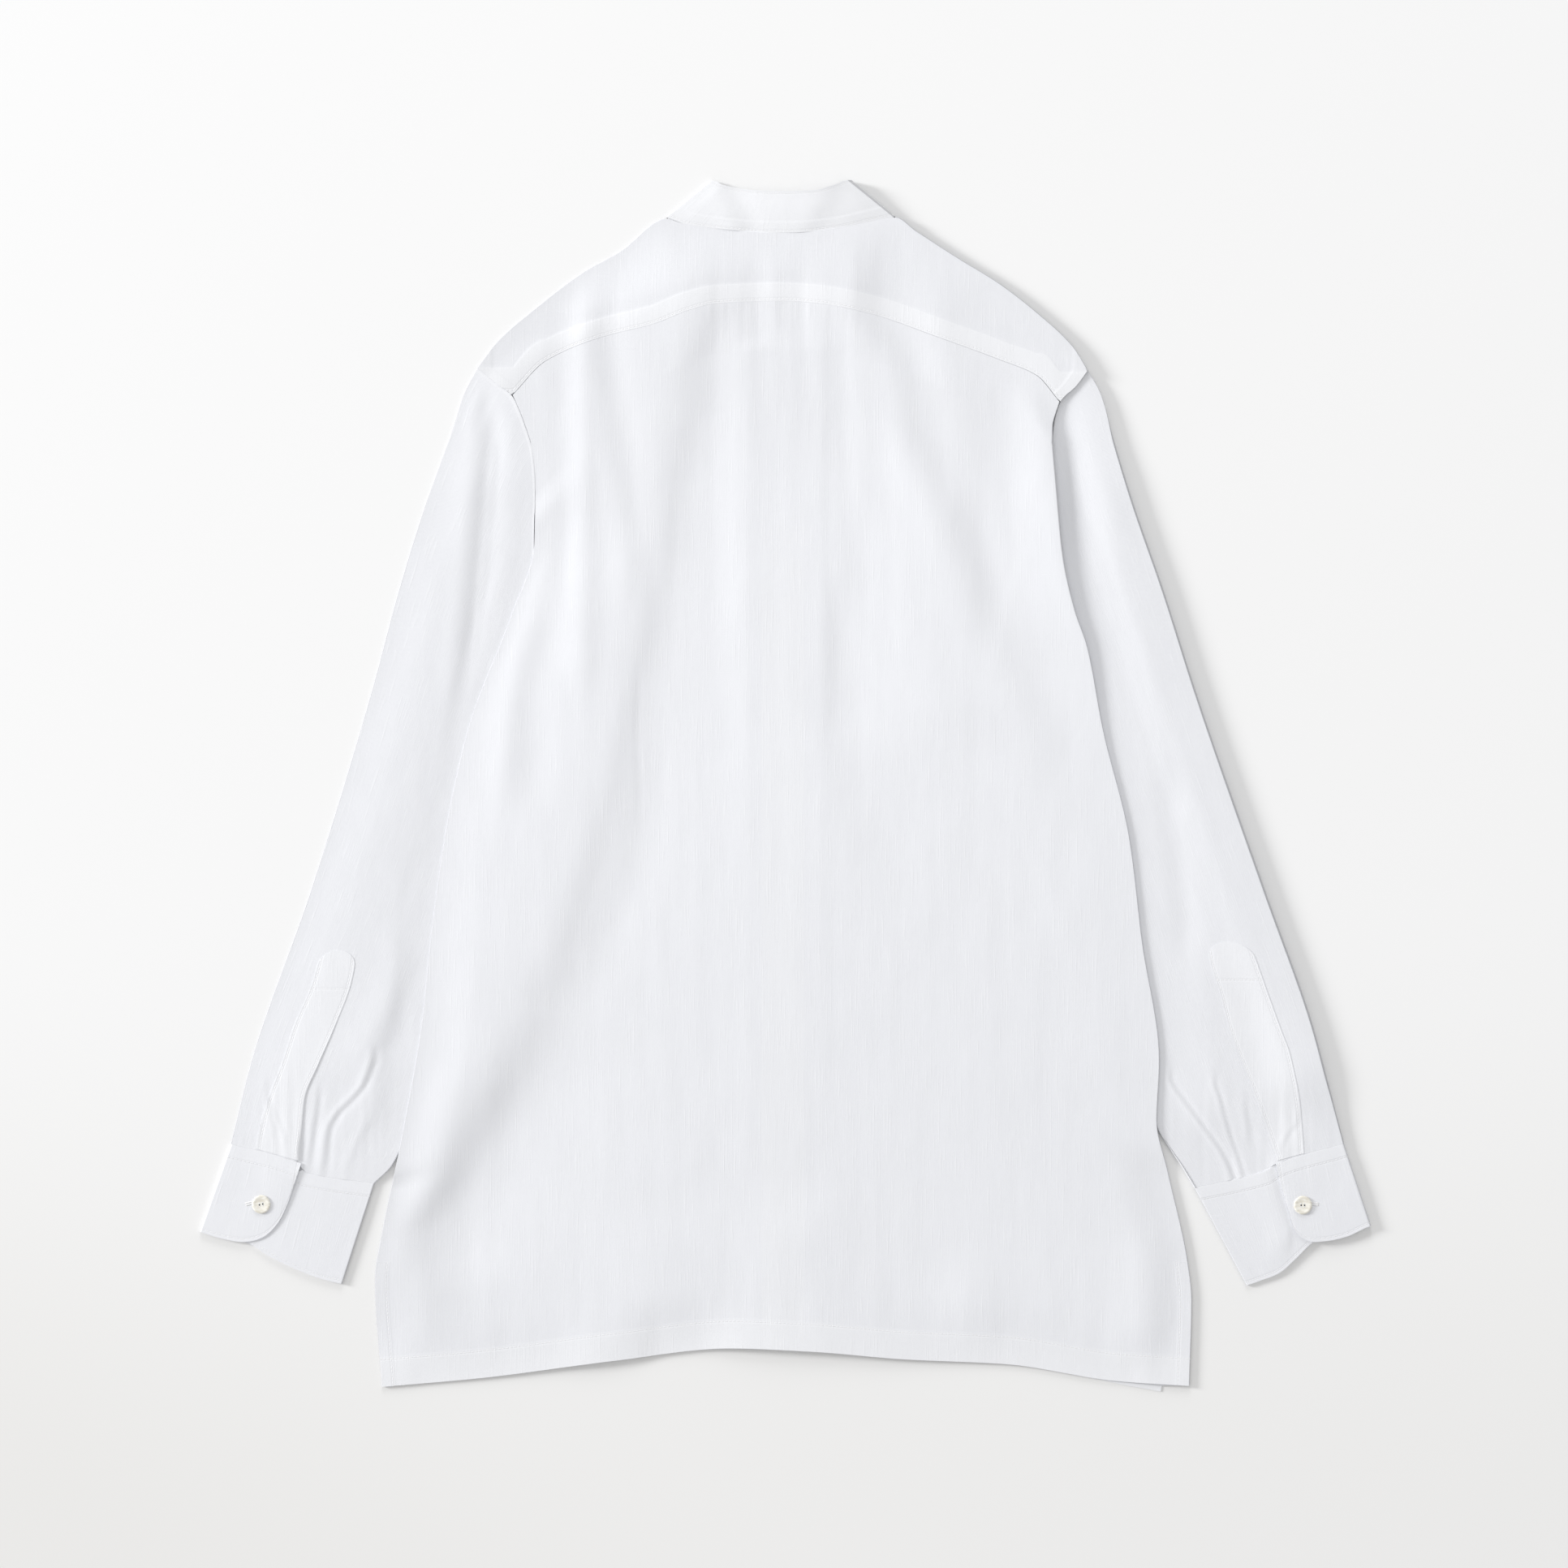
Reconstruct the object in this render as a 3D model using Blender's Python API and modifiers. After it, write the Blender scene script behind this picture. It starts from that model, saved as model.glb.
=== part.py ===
"""Mandarin collar shirt, laid flat on its front with its back up.

Every cloth piece is a flat grid mapped by a function of the shirt's sizes and
given its wall by Solidify. Tables are in millimetres; the finished meshes are
in metres, with +X to the wearer's right, +Y to the collar and +Z up. The
origin is on the floor, under the middle of the shirt.
"""
import math

import bmesh
import bpy
from mathutils import Vector

MM = 0.001

# ---------------------------------------------------------------- driving sizes
WALL = 1.0              # one layer of cloth
FIRM_WALL = 1.5         # collar and cuffs, which are made of two layers
GAP = 0.3               # between two pieces at a seam
SEAM = 0.5              # how far a piece stands back from its neighbour's edge
ARMHOLE_SEAM = 1.0      # and from the armhole, whose curve is tighter
SLEEVE_FLAT = 3.0       # a pressed sleeve, top to bottom
SLEEVE_LIFT = 2.2       # what a sleeve adds under the body's side
BAND_LIFT = 2.3         # what the front buttons add under the button band
BUTTON_DIAMETER = 13.0
BUTTON_THICKNESS = 2.0
FRONT_BUTTONS = 6
FIRST_BUTTON_Y = 268.0
BUTTON_PITCH = 85.0
BAND_LEFT = -16.5       # edges of the overlapping button bands
BAND_RIGHT = 12.5
LAP = 4.0               # side seam: the back's turned edge laps the front
UNDERARM_Y = 60.0
COLLAR_HEIGHT = 35.0
FOLD_STEPS = 4          # segments round a folded edge

# ------------------------------------------------- outlines, measured in reach
# reach is the distance from the centre line, so both sides read the same way.
# columns: y, reach
BODY_EDGE = {
    "left": [(-407.0, 273.4), (-333.3, 278.1), (-305.8, 273.9), (-242.6, 260.7),
             (-158.4, 245.9), (-106.2, 240.4), (-30.8, 229.9), (37.4, 215.1),
             (114.4, 185.9), (163.4, 170.0), (198.6, 169.4), (224.4, 171.0),
             (245.9, 177.1), (264.6, 184.8)],
    "right": [(-406.3, 273.4), (-347.6, 275.0), (-325.6, 272.8), (-261.0, 258.8),
              (-227.0, 251.2), (-185.9, 253.0), (-106.2, 241.5), (-35.2, 232.7),
              (37.4, 215.1), (93.2, 204.6), (119.4, 195.8), (154.6, 188.1),
              (189.8, 184.6), (242.3, 180.8), (259.8, 185.4)],
}
ARMHOLE = {
    "left": [(60.0, 147.0), (120.0, 162.0), (163.4, 170.4), (198.6, 169.9),
             (224.4, 171.5), (245.9, 177.6), (264.6, 186.0), (273.0, 197.0),
             (282.7, 208.7)],
    "right": [(60.0, 147.0), (120.0, 164.0), (163.0, 176.0), (198.0, 180.0),
              (225.0, 180.6), (242.0, 181.4), (259.8, 186.0), (270.3, 196.5),
              (281.1, 204.6)],
}
SLEEVE_OUTER = {
    "left": [(-242.5, 375.5), (-182.1, 360.3), (-72.6, 322.0), (64.9, 280.0),
             (128.7, 262.9), (182.6, 246.4), (244.8, 224.4), (265.0, 218.0),
             (282.7, 208.7)],
    "right": [(-242.0, 377.9), (-200.2, 366.9), (-160.1, 356.1), (-72.6, 325.1),
              (61.6, 278.3), (132.0, 255.8), (193.1, 234.6), (233.5, 222.2),
              (265.1, 213.4), (281.1, 204.6)],
}
SLEEVE_INNER = {
    "left": [(-269.3, 278.3), (-257.0, 266.0), (-235.0, 256.0), (-200.0, 244.0),
             (-100.0, 209.0), (0.0, 171.0), (60.0, 147.0)],
    "right": [(-272.3, 276.7), (-258.5, 268.4), (-246.0, 260.0), (-233.0, 252.0),
              (-200.0, 241.0), (-100.0, 208.0), (0.0, 170.0), (60.0, 147.0)],
}
FRONT_EDGE = {
    "left": [(-407.0, 270.0), (-330.0, 272.0), (-300.0, 264.0), (-257.0, 250.0),
             (-200.0, 232.0), (-100.0, 198.0), (0.0, 160.0), (35.0, 146.0),
             (60.0, 146.0)],
    "right": [(-410.3, 254.0), (-330.0, 266.0), (-300.0, 261.0), (-245.0, 245.0),
              (-200.0, 230.0), (-100.0, 197.0), (0.0, 159.0), (35.0, 146.0),
              (60.0, 146.0)],
}
# the sleeve's end at the cuff; columns: part of the way in, reach, y
SLEEVE_END = {
    "left": [(0.0, 375.5, -242.5), (0.46, 332.0, -254.3), (0.54, 324.0, -261.8),
             (1.0, 278.3, -269.3)],
    "right": [(0.0, 377.9, -242.0), (0.47, 331.0, -256.2), (0.53, 326.0, -260.0),
              (1.0, 276.7, -272.3)],
}
# height above which the body no longer lies on the sleeve; columns: y, height
COVER_TOP = {"left": 200.0, "right": 255.0}
COVER_FADE = 25.0
EDGE_ROUND = {"left": 1.0, "right": 1.4}

# columns: x, y
YOKE_SEAM = [(-184.8, 264.6), (-162.3, 287.5), (-123.8, 303.6), (-88.6, 312.5),
             (-65.5, 321.5), (-47.6, 326.0), (-3.4, 327.9), (20.1, 326.4),
             (58.3, 319.0), (105.6, 302.5), (145.2, 288.0), (170.0, 277.5),
             (185.4, 259.8)]
HEM = [(-273.4, -407.0), (-205.9, -401.0), (-113.9, -388.9), (-35.2, -380.8),
       (16.0, -382.8), (81.4, -388.3), (149.1, -391.6), (223.9, -403.0),
       (273.4, -406.3)]
FRONT_HEM = [(-270.0, -403.0), (-113.9, -385.0), (0.0, -379.0), (149.1, -389.0),
             (191.0, -396.6), (216.0, -403.3), (254.0, -410.3)]
SHOULDER = [(-208.7, 282.7), (-194.9, 300.9), (-171.4, 321.4), (-136.0, 348.2),
            (-112.4, 361.4), (-80.5, 384.0), (74.0, 385.2), (88.0, 375.9),
            (117.2, 357.0), (143.9, 340.6), (170.4, 320.1), (194.0, 297.9),
            (204.6, 281.1)]
# the yoke's seam to the fronts, underneath; columns: reach, y
FRONT_SEAM = {
    "left": [(76.5, 358.5), (112.4, 335.4), (136.0, 322.2), (171.4, 294.8),
             (184.0, 281.5), (194.0, 270.0)],
    "right": [(70.0, 361.5), (88.0, 350.0), (117.2, 331.0), (143.9, 314.6),
              (170.4, 292.0), (182.0, 279.0), (191.0, 268.0)],
}
NECK_SEAM = [(-80.5, 384.0), (-67.8, 380.2), (-44.6, 376.8), (-10.1, 374.2),
             (7.2, 374.2), (31.6, 376.6), (44.0, 378.8), (74.0, 385.2)]
COLLAR_TOP = [(-50.6, 409.8), (-42.0, 406.5), (-17.6, 402.6), (2.2, 402.1),
              (19.3, 402.6), (35.2, 407.0), (45.1, 409.5)]
NECK_LEFT = -80.5
NECK_RIGHT = 74.0
NECK_FRONT_Y = 303.0    # the neckline's lowest point, at the centre front

# The back's folds. A slope has its crest on the left of the line and its trough
# on the right; a crest rises along the line.
# columns: kind, height, half width, line of (y, x) from the hem up
BACK_FOLDS = [
    ("slope", 1.5, 15.0, [(-290.0, -236.0), (-186.0, -180.0), (-111.0, -146.0),
                          (-30.0, -119.0), (71.0, -98.5), (153.0, -85.0),
                          (261.0, -65.0), (318.0, -58.0)]),
    ("slope", 0.6, 9.0, [(153.0, -100.7), (213.0, -112.0), (303.0, -125.4)]),
    ("slope", 1.2, 14.0, [(-40.0, 173.0), (45.0, 165.6), (92.0, 151.8),
                          (133.0, 135.0), (187.0, 101.0), (275.0, 81.0),
                          (310.0, 63.8)]),
    ("slope", 0.9, 18.0, [(-260.0, 106.0), (-118.0, 101.0), (-3.0, 71.0),
                          (98.0, 30.0), (180.0, 8.0)]),
    ("slope", 0.9, 11.0, [(20.0, -180.0), (67.0, -178.0), (114.0, -168.0),
                          (150.0, -160.0)]),
    ("crest", 1.0, 9.0, [(90.0, -146.5), (200.0, -145.8), (290.0, -146.0)]),
    ("crest", 0.7, 8.0, [(120.0, -28.0), (240.0, -30.0), (326.0, -34.0)]),
    ("crest", 0.6, 7.0, [(200.0, 2.0), (326.0, -6.0)]),
    ("crest", 0.7, 8.0, [(150.0, 36.0), (240.0, 29.0), (324.0, 22.0)]),
    ("crest", 0.6, 8.0, [(210.0, 52.0), (320.0, 46.0)]),
    ("crest", 0.6, 10.0, [(200.0, 118.0), (300.0, 104.0)]),
    ("crest", 1.0, 26.0, [(-383.0, -96.0), (-320.0, -92.0)]),
    ("crest", 1.2, 34.0, [(-383.0, 6.0), (-310.0, 4.0)]),
    ("crest", 0.8, 14.0, [(-395.0, 130.0), (-350.0, 126.0)]),
    ("slope", 1.0, 16.0, [(-400.0, 248.0), (-360.0, 262.0), (-325.0, 266.0)]),
]
# The sleeves' folds, in reach; columns as above
SLEEVE_FOLDS = {
    "left": [
        ("crest", 1.6, 11.0, [(60.0, 221.0), (128.0, 196.0), (190.0, 190.0),
                              (250.0, 195.0)]),
        ("crest", -1.0, 7.0, [(40.0, 219.0), (128.0, 211.0), (228.0, 210.5),
                              (262.0, 207.0)]),
        ("crest", 1.2, 22.0, [(-200.0, 335.0), (-60.0, 290.0), (100.0, 248.0),
                              (230.0, 219.0)]),
        ("crest", 1.1, 7.0, [(-262.0, 301.0), (-200.0, 283.0), (-130.0, 264.0)]),
        ("crest", 1.2, 4.5, [(-258.0, 312.0), (-225.0, 308.0), (-200.0, 303.0)]),
        ("crest", 1.2, 4.5, [(-258.0, 322.0), (-230.0, 318.0), (-195.0, 314.0)]),
        ("crest", -0.9, 4.0, [(-262.0, 306.5), (-225.0, 301.0), (-190.0, 290.0)]),
    ],
    "right": [
        ("crest", 1.3, 16.0, [(-120.0, 300.0), (60.0, 246.0), (200.0, 212.0),
                              (268.0, 203.0)]),
        ("crest", -0.8, 9.0, [(-90.0, 268.0), (-45.0, 262.0), (-20.0, 255.0)]),
        ("crest", 1.2, 20.0, [(-200.0, 350.0), (-60.0, 305.0), (100.0, 256.0),
                              (230.0, 219.0)]),
        ("crest", 1.2, 5.0, [(-262.0, 303.0), (-225.0, 289.0), (-185.0, 272.0)]),
        ("crest", 1.2, 4.5, [(-258.0, 313.0), (-225.0, 299.0), (-192.0, 287.0)]),
        ("crest", -0.9, 4.0, [(-262.0, 308.0), (-225.0, 294.5), (-195.0, 281.0)]),
        ("crest", 1.1, 5.0, [(-258.0, 322.0), (-228.0, 315.0), (-205.0, 312.0)]),
    ],
}
FOLD_FADE = 45.0        # length over which a fold dies away past its ends

# Sleeve plackets; columns: y, near reach, far reach
PLACKET = {
    "left": [(-249.6, 329.6, 358.4), (-236.8, 328.2, 356.4), (-211.2, 325.6, 349.8),
             (-189.2, 316.5, 341.4), (-162.0, 304.7, 332.4), (-132.6, 293.8, 320.1),
             (-118.0, 293.0, 316.6), (-111.5, 297.5, 313.4)],
    "right": [(-251.2, 332.5, 350.6), (-218.4, 321.0, 348.0), (-182.1, 306.5, 341.2),
              (-165.6, 300.3, 335.2), (-141.9, 294.1, 326.6), (-120.0, 287.2, 318.8),
              (-110.0, 291.0, 313.0), (-105.5, 296.5, 308.0)],
}
# Cuffs. Each rung goes from the sleeve's end to the cuff's free edge.
# columns: layer, reach and y at the sleeve's end, reach and y at the free edge
CUFF = {
    "left": [
        ("over", 327.8, -256.4, 331.6, -267.0), ("over", 332.0, -255.1, 336.8, -282.2),
        ("over", 337.5, -253.6, 343.8, -296.2), ("over", 345.0, -251.6, 352.5, -304.9),
        ("over", 355.0, -248.9, 365.8, -308.8), ("over", 364.5, -246.3, 381.5, -306.6),
        ("outer fold", 375.5, -243.3, 396.6, -302.0),
        ("under", 362.0, -247.0, 377.0, -306.0), ("under", 347.0, -251.1, 362.1, -310.8),
        ("under", 331.0, -255.6, 347.6, -319.6), ("under", 311.0, -261.1, 325.6, -329.8),
        ("under", 292.0, -266.4, 311.0, -334.8),
        ("inner fold", 278.3, -270.1, 300.3, -337.4),
        ("middle", 292.0, -267.9, 311.0, -334.8), ("middle", 311.0, -264.8, 325.6, -329.8),
        ("middle", 329.5, -262.2, 347.6, -319.6), ("middle", 347.0, -259.0, 361.0, -311.0),
        ("middle", 360.0, -256.5, 370.0, -304.0)],
    "right": [
        ("over", 331.7, -257.0, 334.4, -268.0), ("over", 335.5, -255.8, 341.0, -290.0),
        ("over", 340.5, -254.3, 345.0, -302.0), ("over", 346.5, -252.4, 353.0, -307.9),
        ("over", 355.5, -249.7, 364.5, -308.3), ("over", 365.0, -246.8, 379.5, -305.2),
        ("outer fold", 377.9, -242.8, 396.3, -297.9),
        ("under", 364.0, -247.1, 376.0, -303.5), ("under", 348.0, -252.0, 356.1, -309.7),
        ("under", 331.0, -256.9, 345.0, -320.5), ("under", 313.0, -262.3, 334.4, -329.8),
        ("under", 294.0, -268.0, 322.0, -334.9),
        ("inner fold", 276.7, -273.0, 311.9, -338.3),
        ("middle", 294.0, -268.9, 322.0, -334.9), ("middle", 313.0, -264.3, 334.4, -329.8),
        ("middle", 331.0, -261.2, 345.0, -320.5), ("middle", 347.0, -257.0, 355.5, -310.2),
        ("middle", 360.0, -254.0, 366.0, -303.0)],
}
CUFF_LEVEL = {"under": 0.75, "middle": 2.75, "over": 4.55}
CUFF_BUTTON = {"left": (354.8, -283.3), "right": (349.8, -283.8)}

SIGN = {"left": -1.0, "right": 1.0}
SIDES = ("left", "right")


# ------------------------------------------------------------------ arithmetic
def mix(start, end, part):
    return start + (end - start) * part


def ease(part):
    """Rise from 0 to 1 without a corner at either end."""
    part = min(max(part, 0.0), 1.0)
    return part * part * (3.0 - 2.0 * part)


def higher(first, second, softness=0.8):
    """The greater of two heights, rounded where they cross."""
    return 0.5 * (first + second + math.hypot(first - second, softness))


def read(rows, key, column=1):
    """Read a column of a table at a key between its rows, on a smooth curve."""
    if key <= rows[0][0]:
        return rows[0][column]
    if key >= rows[-1][0]:
        return rows[-1][column]
    index = next(i for i in range(len(rows) - 1) if key <= rows[i + 1][0])

    def slope(i):
        return (rows[i + 1][column] - rows[i][column]) / (rows[i + 1][0] - rows[i][0])

    def tangent(i):
        if i == 0 or i == len(rows) - 1:
            return slope(min(i, len(rows) - 2))
        before, after = slope(i - 1), slope(i)
        return 0.0 if before * after <= 0.0 else 2.0 * before * after / (before + after)

    low, high = rows[index], rows[index + 1]
    span = high[0] - low[0]
    t = (key - low[0]) / span
    rest = 1.0 - t
    return (low[column] * rest * rest * (1.0 + 2.0 * t)
            + high[column] * t * t * (1.0 + 2.0 * rest)
            + tangent(index) * span * t * rest * rest
            - tangent(index + 1) * span * t * t * rest)


def fold_height(folds, x, y):
    """Add up the folds of a table at one point."""
    total = 0.0
    for kind, height, width, line in folds:
        start, end = line[0][0], line[-1][0]
        fade = ease((y - start) / FOLD_FADE + 1.0) * ease((end - y) / FOLD_FADE + 1.0)
        if fade <= 0.0:
            continue
        off = (x - read(line, y)) / width
        bell = math.exp(-0.5 * off * off)
        total += height * fade * (bell if kind == "crest" else -off * bell * 1.65)
    return total


# ------------------------------------------------------------- heights (middles)
def side_of(x):
    return "left" if x < 0.0 else "right"


def sleeve_rim(side, y):
    """Reach of the sleeve's hidden edge: the armhole, then the inner edge."""
    if y > UNDERARM_Y:
        return read(ARMHOLE[side], y)
    inner = SLEEVE_INNER[side]
    if y > inner[0][0]:
        return read(inner, y)
    return inner[0][1] + 1.6 * (inner[0][0] - y)


def front_side(side, y):
    """Reach of a front's outer edge: the armhole, then the side seam."""
    if y > UNDERARM_Y:
        return read(ARMHOLE[side], y) - ARMHOLE_SEAM
    return read(FRONT_EDGE[side], y)


def on_sleeve(side, y):
    return ease((COVER_TOP[side] - y) / COVER_FADE)


def body_edge(side, y):
    """Reach of the back's outer edge: a seam at the top, then a folded edge."""
    edge = read(BODY_EDGE[side], y)
    if y > COVER_TOP[side] - COVER_FADE:
        edge = min(edge, read(ARMHOLE[side], y) - ARMHOLE_SEAM)
    return edge


def turned_height(side, reach, y):
    """Middle of the back's turned-under edge, on the front or on the sleeve."""
    cover = ease((reach - (sleeve_rim(side, y) - 14.0)) / 9.0) * on_sleeve(side, y)
    return 1.5 * WALL + GAP + SLEEVE_LIFT * cover


def band_lift(y):
    """Part of the buttons' lift at a height along the button band."""
    return ease((300.0 - y) / 18.0) * ease((y + 262.0) / 60.0)


def front_height(side, x, y):
    """Middle of a front panel; the left one lies under the right one."""
    lift = BAND_LIFT * band_lift(y)
    if side == "left":
        return 0.5 * WALL + lift * ease((x - (BAND_LEFT - 24.0)) / 22.0)
    over = WALL + GAP + lift
    return 0.5 * WALL + over * ease(((BAND_RIGHT + 26.0) - x) / 24.0)


def least_height(x, y):
    """Lowest middle of the back that clears all that lies under it."""
    side, reach = side_of(x), abs(x)
    turned = front_side(side, y) - LAP
    rim = sleeve_rim(side, y)
    cover = ease((reach - (rim - 42.0)) / 28.0) * on_sleeve(side, y - 12.0)
    sides = 1.5 * WALL + GAP + SLEEVE_LIFT * cover
    sides += (WALL + GAP) * ease((reach - (turned - 20.0)) / 14.0)
    lift = ease((312.0 - y) / 18.0) * ease((y + 300.0) / 70.0)
    band = ease((x - (BAND_LEFT - 34.0)) / 26.0) * ease(((BAND_RIGHT + 36.0) - x) / 26.0)
    middle = 1.5 * WALL + GAP + (WALL + GAP + BAND_LIFT * lift) * band
    return max(sides, middle)


def back_height(x, y):
    """Middle of the back's upper layer, away from its side edges."""
    level = mix(3.4, 2.7, ease((-200.0 - y) / 200.0))
    return higher(level + fold_height(BACK_FOLDS, x, y), least_height(x, y) + 0.1)


def sleeve_height(side, reach, y):
    """Middle of a sleeve's upper layer."""
    body = read(BODY_EDGE[side], y)
    shown = ease((reach - (body + 2.0)) / 11.0)
    outer = read(SLEEVE_OUTER[side], y)
    edge = ease((outer - reach) / 14.0)
    end = 0.35 + 0.65 * ease((y + 262.0) / 40.0)
    puff = 0.6 + fold_height(SLEEVE_FOLDS[side], reach, y)
    flat = SLEEVE_FLAT - 0.5 * WALL
    return flat + min(max(puff, 0.0), 2.7) * shown * edge * max(end, 0.35)


# ------------------------------------------------------------------ mesh makers
def material(name, colour, roughness, sheen=0.0):
    """A plain Principled material."""
    found = bpy.data.materials.get(name)
    if found:
        return found
    made = bpy.data.materials.new(name)
    made.use_nodes = True
    shader = made.node_tree.nodes["Principled BSDF"]
    shader.inputs["Base Color"].default_value = (*colour, 1.0)
    shader.inputs["Roughness"].default_value = roughness
    shader.inputs["Metallic"].default_value = 0.0
    shader.inputs["Sheen Weight"].default_value = sheen
    return made


def cloth():
    return material("white_linen", (0.87, 0.88, 0.90), 0.85, 0.3)


def shell():
    return material("cream_shell", (0.86, 0.82, 0.70), 0.25)


def link(name, mesh, finish, collection):
    """Place a finished mesh in the shirt's collection."""
    item = bpy.data.objects.new(name, mesh)
    mesh.materials.append(finish)
    mesh.shade_smooth()
    mesh.set_sharp_from_angle(angle=math.radians(50.0))
    collection.objects.link(item)
    return item


def sheet(name, columns, rows, place, wall, collection, drop=None, tube=False):
    """Map a grid by place(column, row) and give it a wall."""
    half = 0.5
    mesh = bpy.data.meshes.new(name)
    grid = bmesh.new()
    bmesh.ops.create_grid(grid, x_segments=columns, y_segments=rows, size=half)
    spot = {}
    for vertex in grid.verts:
        column = round((vertex.co.x + half) * columns)
        row = round((half - vertex.co.y) * rows)
        spot[vertex] = (column, row)
    if drop:
        gone = [face for face in grid.faces
                if drop(min(spot[v][0] for v in face.verts),
                        min(spot[v][1] for v in face.verts))]
        bmesh.ops.delete(grid, geom=gone, context="FACES")
    for vertex in grid.verts:
        vertex.co = Vector(place(*spot[vertex])) * MM
    if tube:
        bmesh.ops.remove_doubles(grid, verts=grid.verts, dist=1e-6)
    bmesh.ops.recalc_face_normals(grid, faces=grid.faces)
    grid.to_mesh(mesh)
    grid.free()
    item = link(name, mesh, cloth(), collection)
    thick = item.modifiers.new("wall", "SOLIDIFY")
    thick.thickness = wall * MM
    thick.offset = 0.0
    thick.use_even_offset = True
    return item


def arc(part, radius):
    """In and up on a folded edge, from its lower end (0) to its upper end (1)."""
    angle = math.pi * (part - 0.5)
    return radius * (1.0 - math.cos(angle)), radius * (1.0 + math.sin(angle))


# ------------------------------------------------------------------- the pieces
TURN_STEPS = 5
TOP_STEPS = 38
# rows of the back, by their height at the side edge
BACK_ROW_Y = [264.0, 246.0, 224.0, 198.0, 163.0, 140.0, 114.0, 87.0, 60.0, 35.0, 0.0,
              -35.0, -70.0, -106.0, -140.0, -175.0, -205.0, -230.0, -250.0, -270.0,
              -290.0, -310.0, -333.0, -357.0, -382.0, -407.0]


def seam_gap(rows, x, gap):
    """Step in y that keeps a gap square to a sloping seam."""
    slope = read(rows, x + 0.5) - read(rows, x - 0.5)
    return gap * math.hypot(1.0, slope)


def back_station(part, row):
    """Plan position of a point on the back's upper layer."""
    top_x = mix(YOKE_SEAM[0][0], YOKE_SEAM[-1][0], part)
    hem_x = mix(HEM[0][0], HEM[-1][0], part)
    top_y = read(YOKE_SEAM, top_x) - seam_gap(YOKE_SEAM, top_x, SEAM)
    y = mix(top_y, read(HEM, hem_x), row)
    left_y = mix(YOKE_SEAM[0][1] - seam_gap(YOKE_SEAM, YOKE_SEAM[0][0], SEAM), HEM[0][1], row)
    right_y = mix(YOKE_SEAM[-1][1] - seam_gap(YOKE_SEAM, YOKE_SEAM[-1][0], SEAM), HEM[-1][1], row)
    left = -body_edge("left", left_y)
    right = body_edge("right", right_y)
    return mix(left, right, part), y


def back_turn(side, row, step):
    """A point on the back's turned edge: 0 is its inner end, then the fold."""
    ends = {"left": 0, "right": -1}[side]
    top_x, top_y = YOKE_SEAM[ends]
    y = mix(top_y - seam_gap(YOKE_SEAM, top_x, SEAM), HEM[ends][1], row)
    edge = body_edge(side, y) - 0.5 * WALL
    bend = EDGE_ROUND[side]
    start = front_side(side, y) - LAP
    foot = edge - bend
    rim = min(max(sleeve_rim(side, y) + 1.0, start + 0.5), foot - 0.5)
    reaches = [start, mix(start, rim, 0.36), mix(start, rim, 0.70), rim,
               mix(rim, foot, 0.5), foot]
    if step <= TURN_STEPS:
        reach = reaches[step]
        return SIGN[side] * reach, y, turned_height(side, reach, y)
    inward, up = arc((step - TURN_STEPS) / FOLD_STEPS, bend)
    return SIGN[side] * (edge - inward), y, turned_height(side, foot, y) + up


def back_point(column, row):
    """The back panel, from its left turned edge over the top to the right one."""
    down = (BACK_ROW_Y[0] - BACK_ROW_Y[row]) / (BACK_ROW_Y[0] - BACK_ROW_Y[-1])
    lead = TURN_STEPS + FOLD_STEPS
    if column <= lead:
        return back_turn("left", down, column)
    if column >= lead + TOP_STEPS:
        return back_turn("right", down, 2 * lead + TOP_STEPS - column)
    even = (column - lead) / TOP_STEPS
    part = even + 0.05 * math.sin(2.0 * math.pi * even)
    x, y = back_station(part, down)
    side = side_of(x)
    end_x, _, end_z = back_turn(side, down, lead)
    inset = abs(abs(end_x) - abs(x))
    near_edge = ease(1.0 - inset / 20.0)
    return x, y, mix(back_height(x, y), end_z, near_edge)


def make_back(collection):
    columns = 2 * (TURN_STEPS + FOLD_STEPS) + TOP_STEPS
    sheet("back", columns, len(BACK_ROW_Y) - 1, back_point, WALL, collection)


# columns of the yoke along each shoulder, as parts of the way out to the armhole,
# and between the two ends of the neck
SHOULDER_PARTS = {"left": [1.0, 0.94, 0.88, 0.76, 0.64, 0.52, 0.44, 0.388],
                  "right": [1.0, 0.94, 0.88, 0.76, 0.64, 0.52, 0.43, 0.362]}
NECK_PARTS = [-0.33, -0.26, -0.19, -0.12, -0.04, 0.04, 0.12, 0.19, 0.26, 0.31]
YOKE_X = ([-part for part in SHOULDER_PARTS["left"]] + NECK_PARTS
          + SHOULDER_PARTS["right"][::-1])
YOKE_UNDER = 2
YOKE_TOP = 5
YOKE_ROUND = 1.3
YOKE_ARMHOLE_SEAM = 1.3


def shoulder_reach(side, part):
    """Reach of a point on a shoulder edge, kept clear of the sleeve."""
    end = abs(SHOULDER[0 if side == "left" else -1][0])
    return min(end * part, end - YOKE_ARMHOLE_SEAM)


def yoke_foot(side, part):
    """Reach and y of the yoke's front seam below a point of the shoulder edge."""
    rows = FRONT_SEAM[side]
    if part == SHOULDER_PARTS[side][-1]:
        return rows[0]
    reach = shoulder_reach(side, part)
    drawn_in = rows[-1][0] / shoulder_reach(side, 1.0)
    reach *= mix(1.0, drawn_in, ease((part - 0.7) / 0.3))
    return reach, read(rows, reach)


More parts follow.
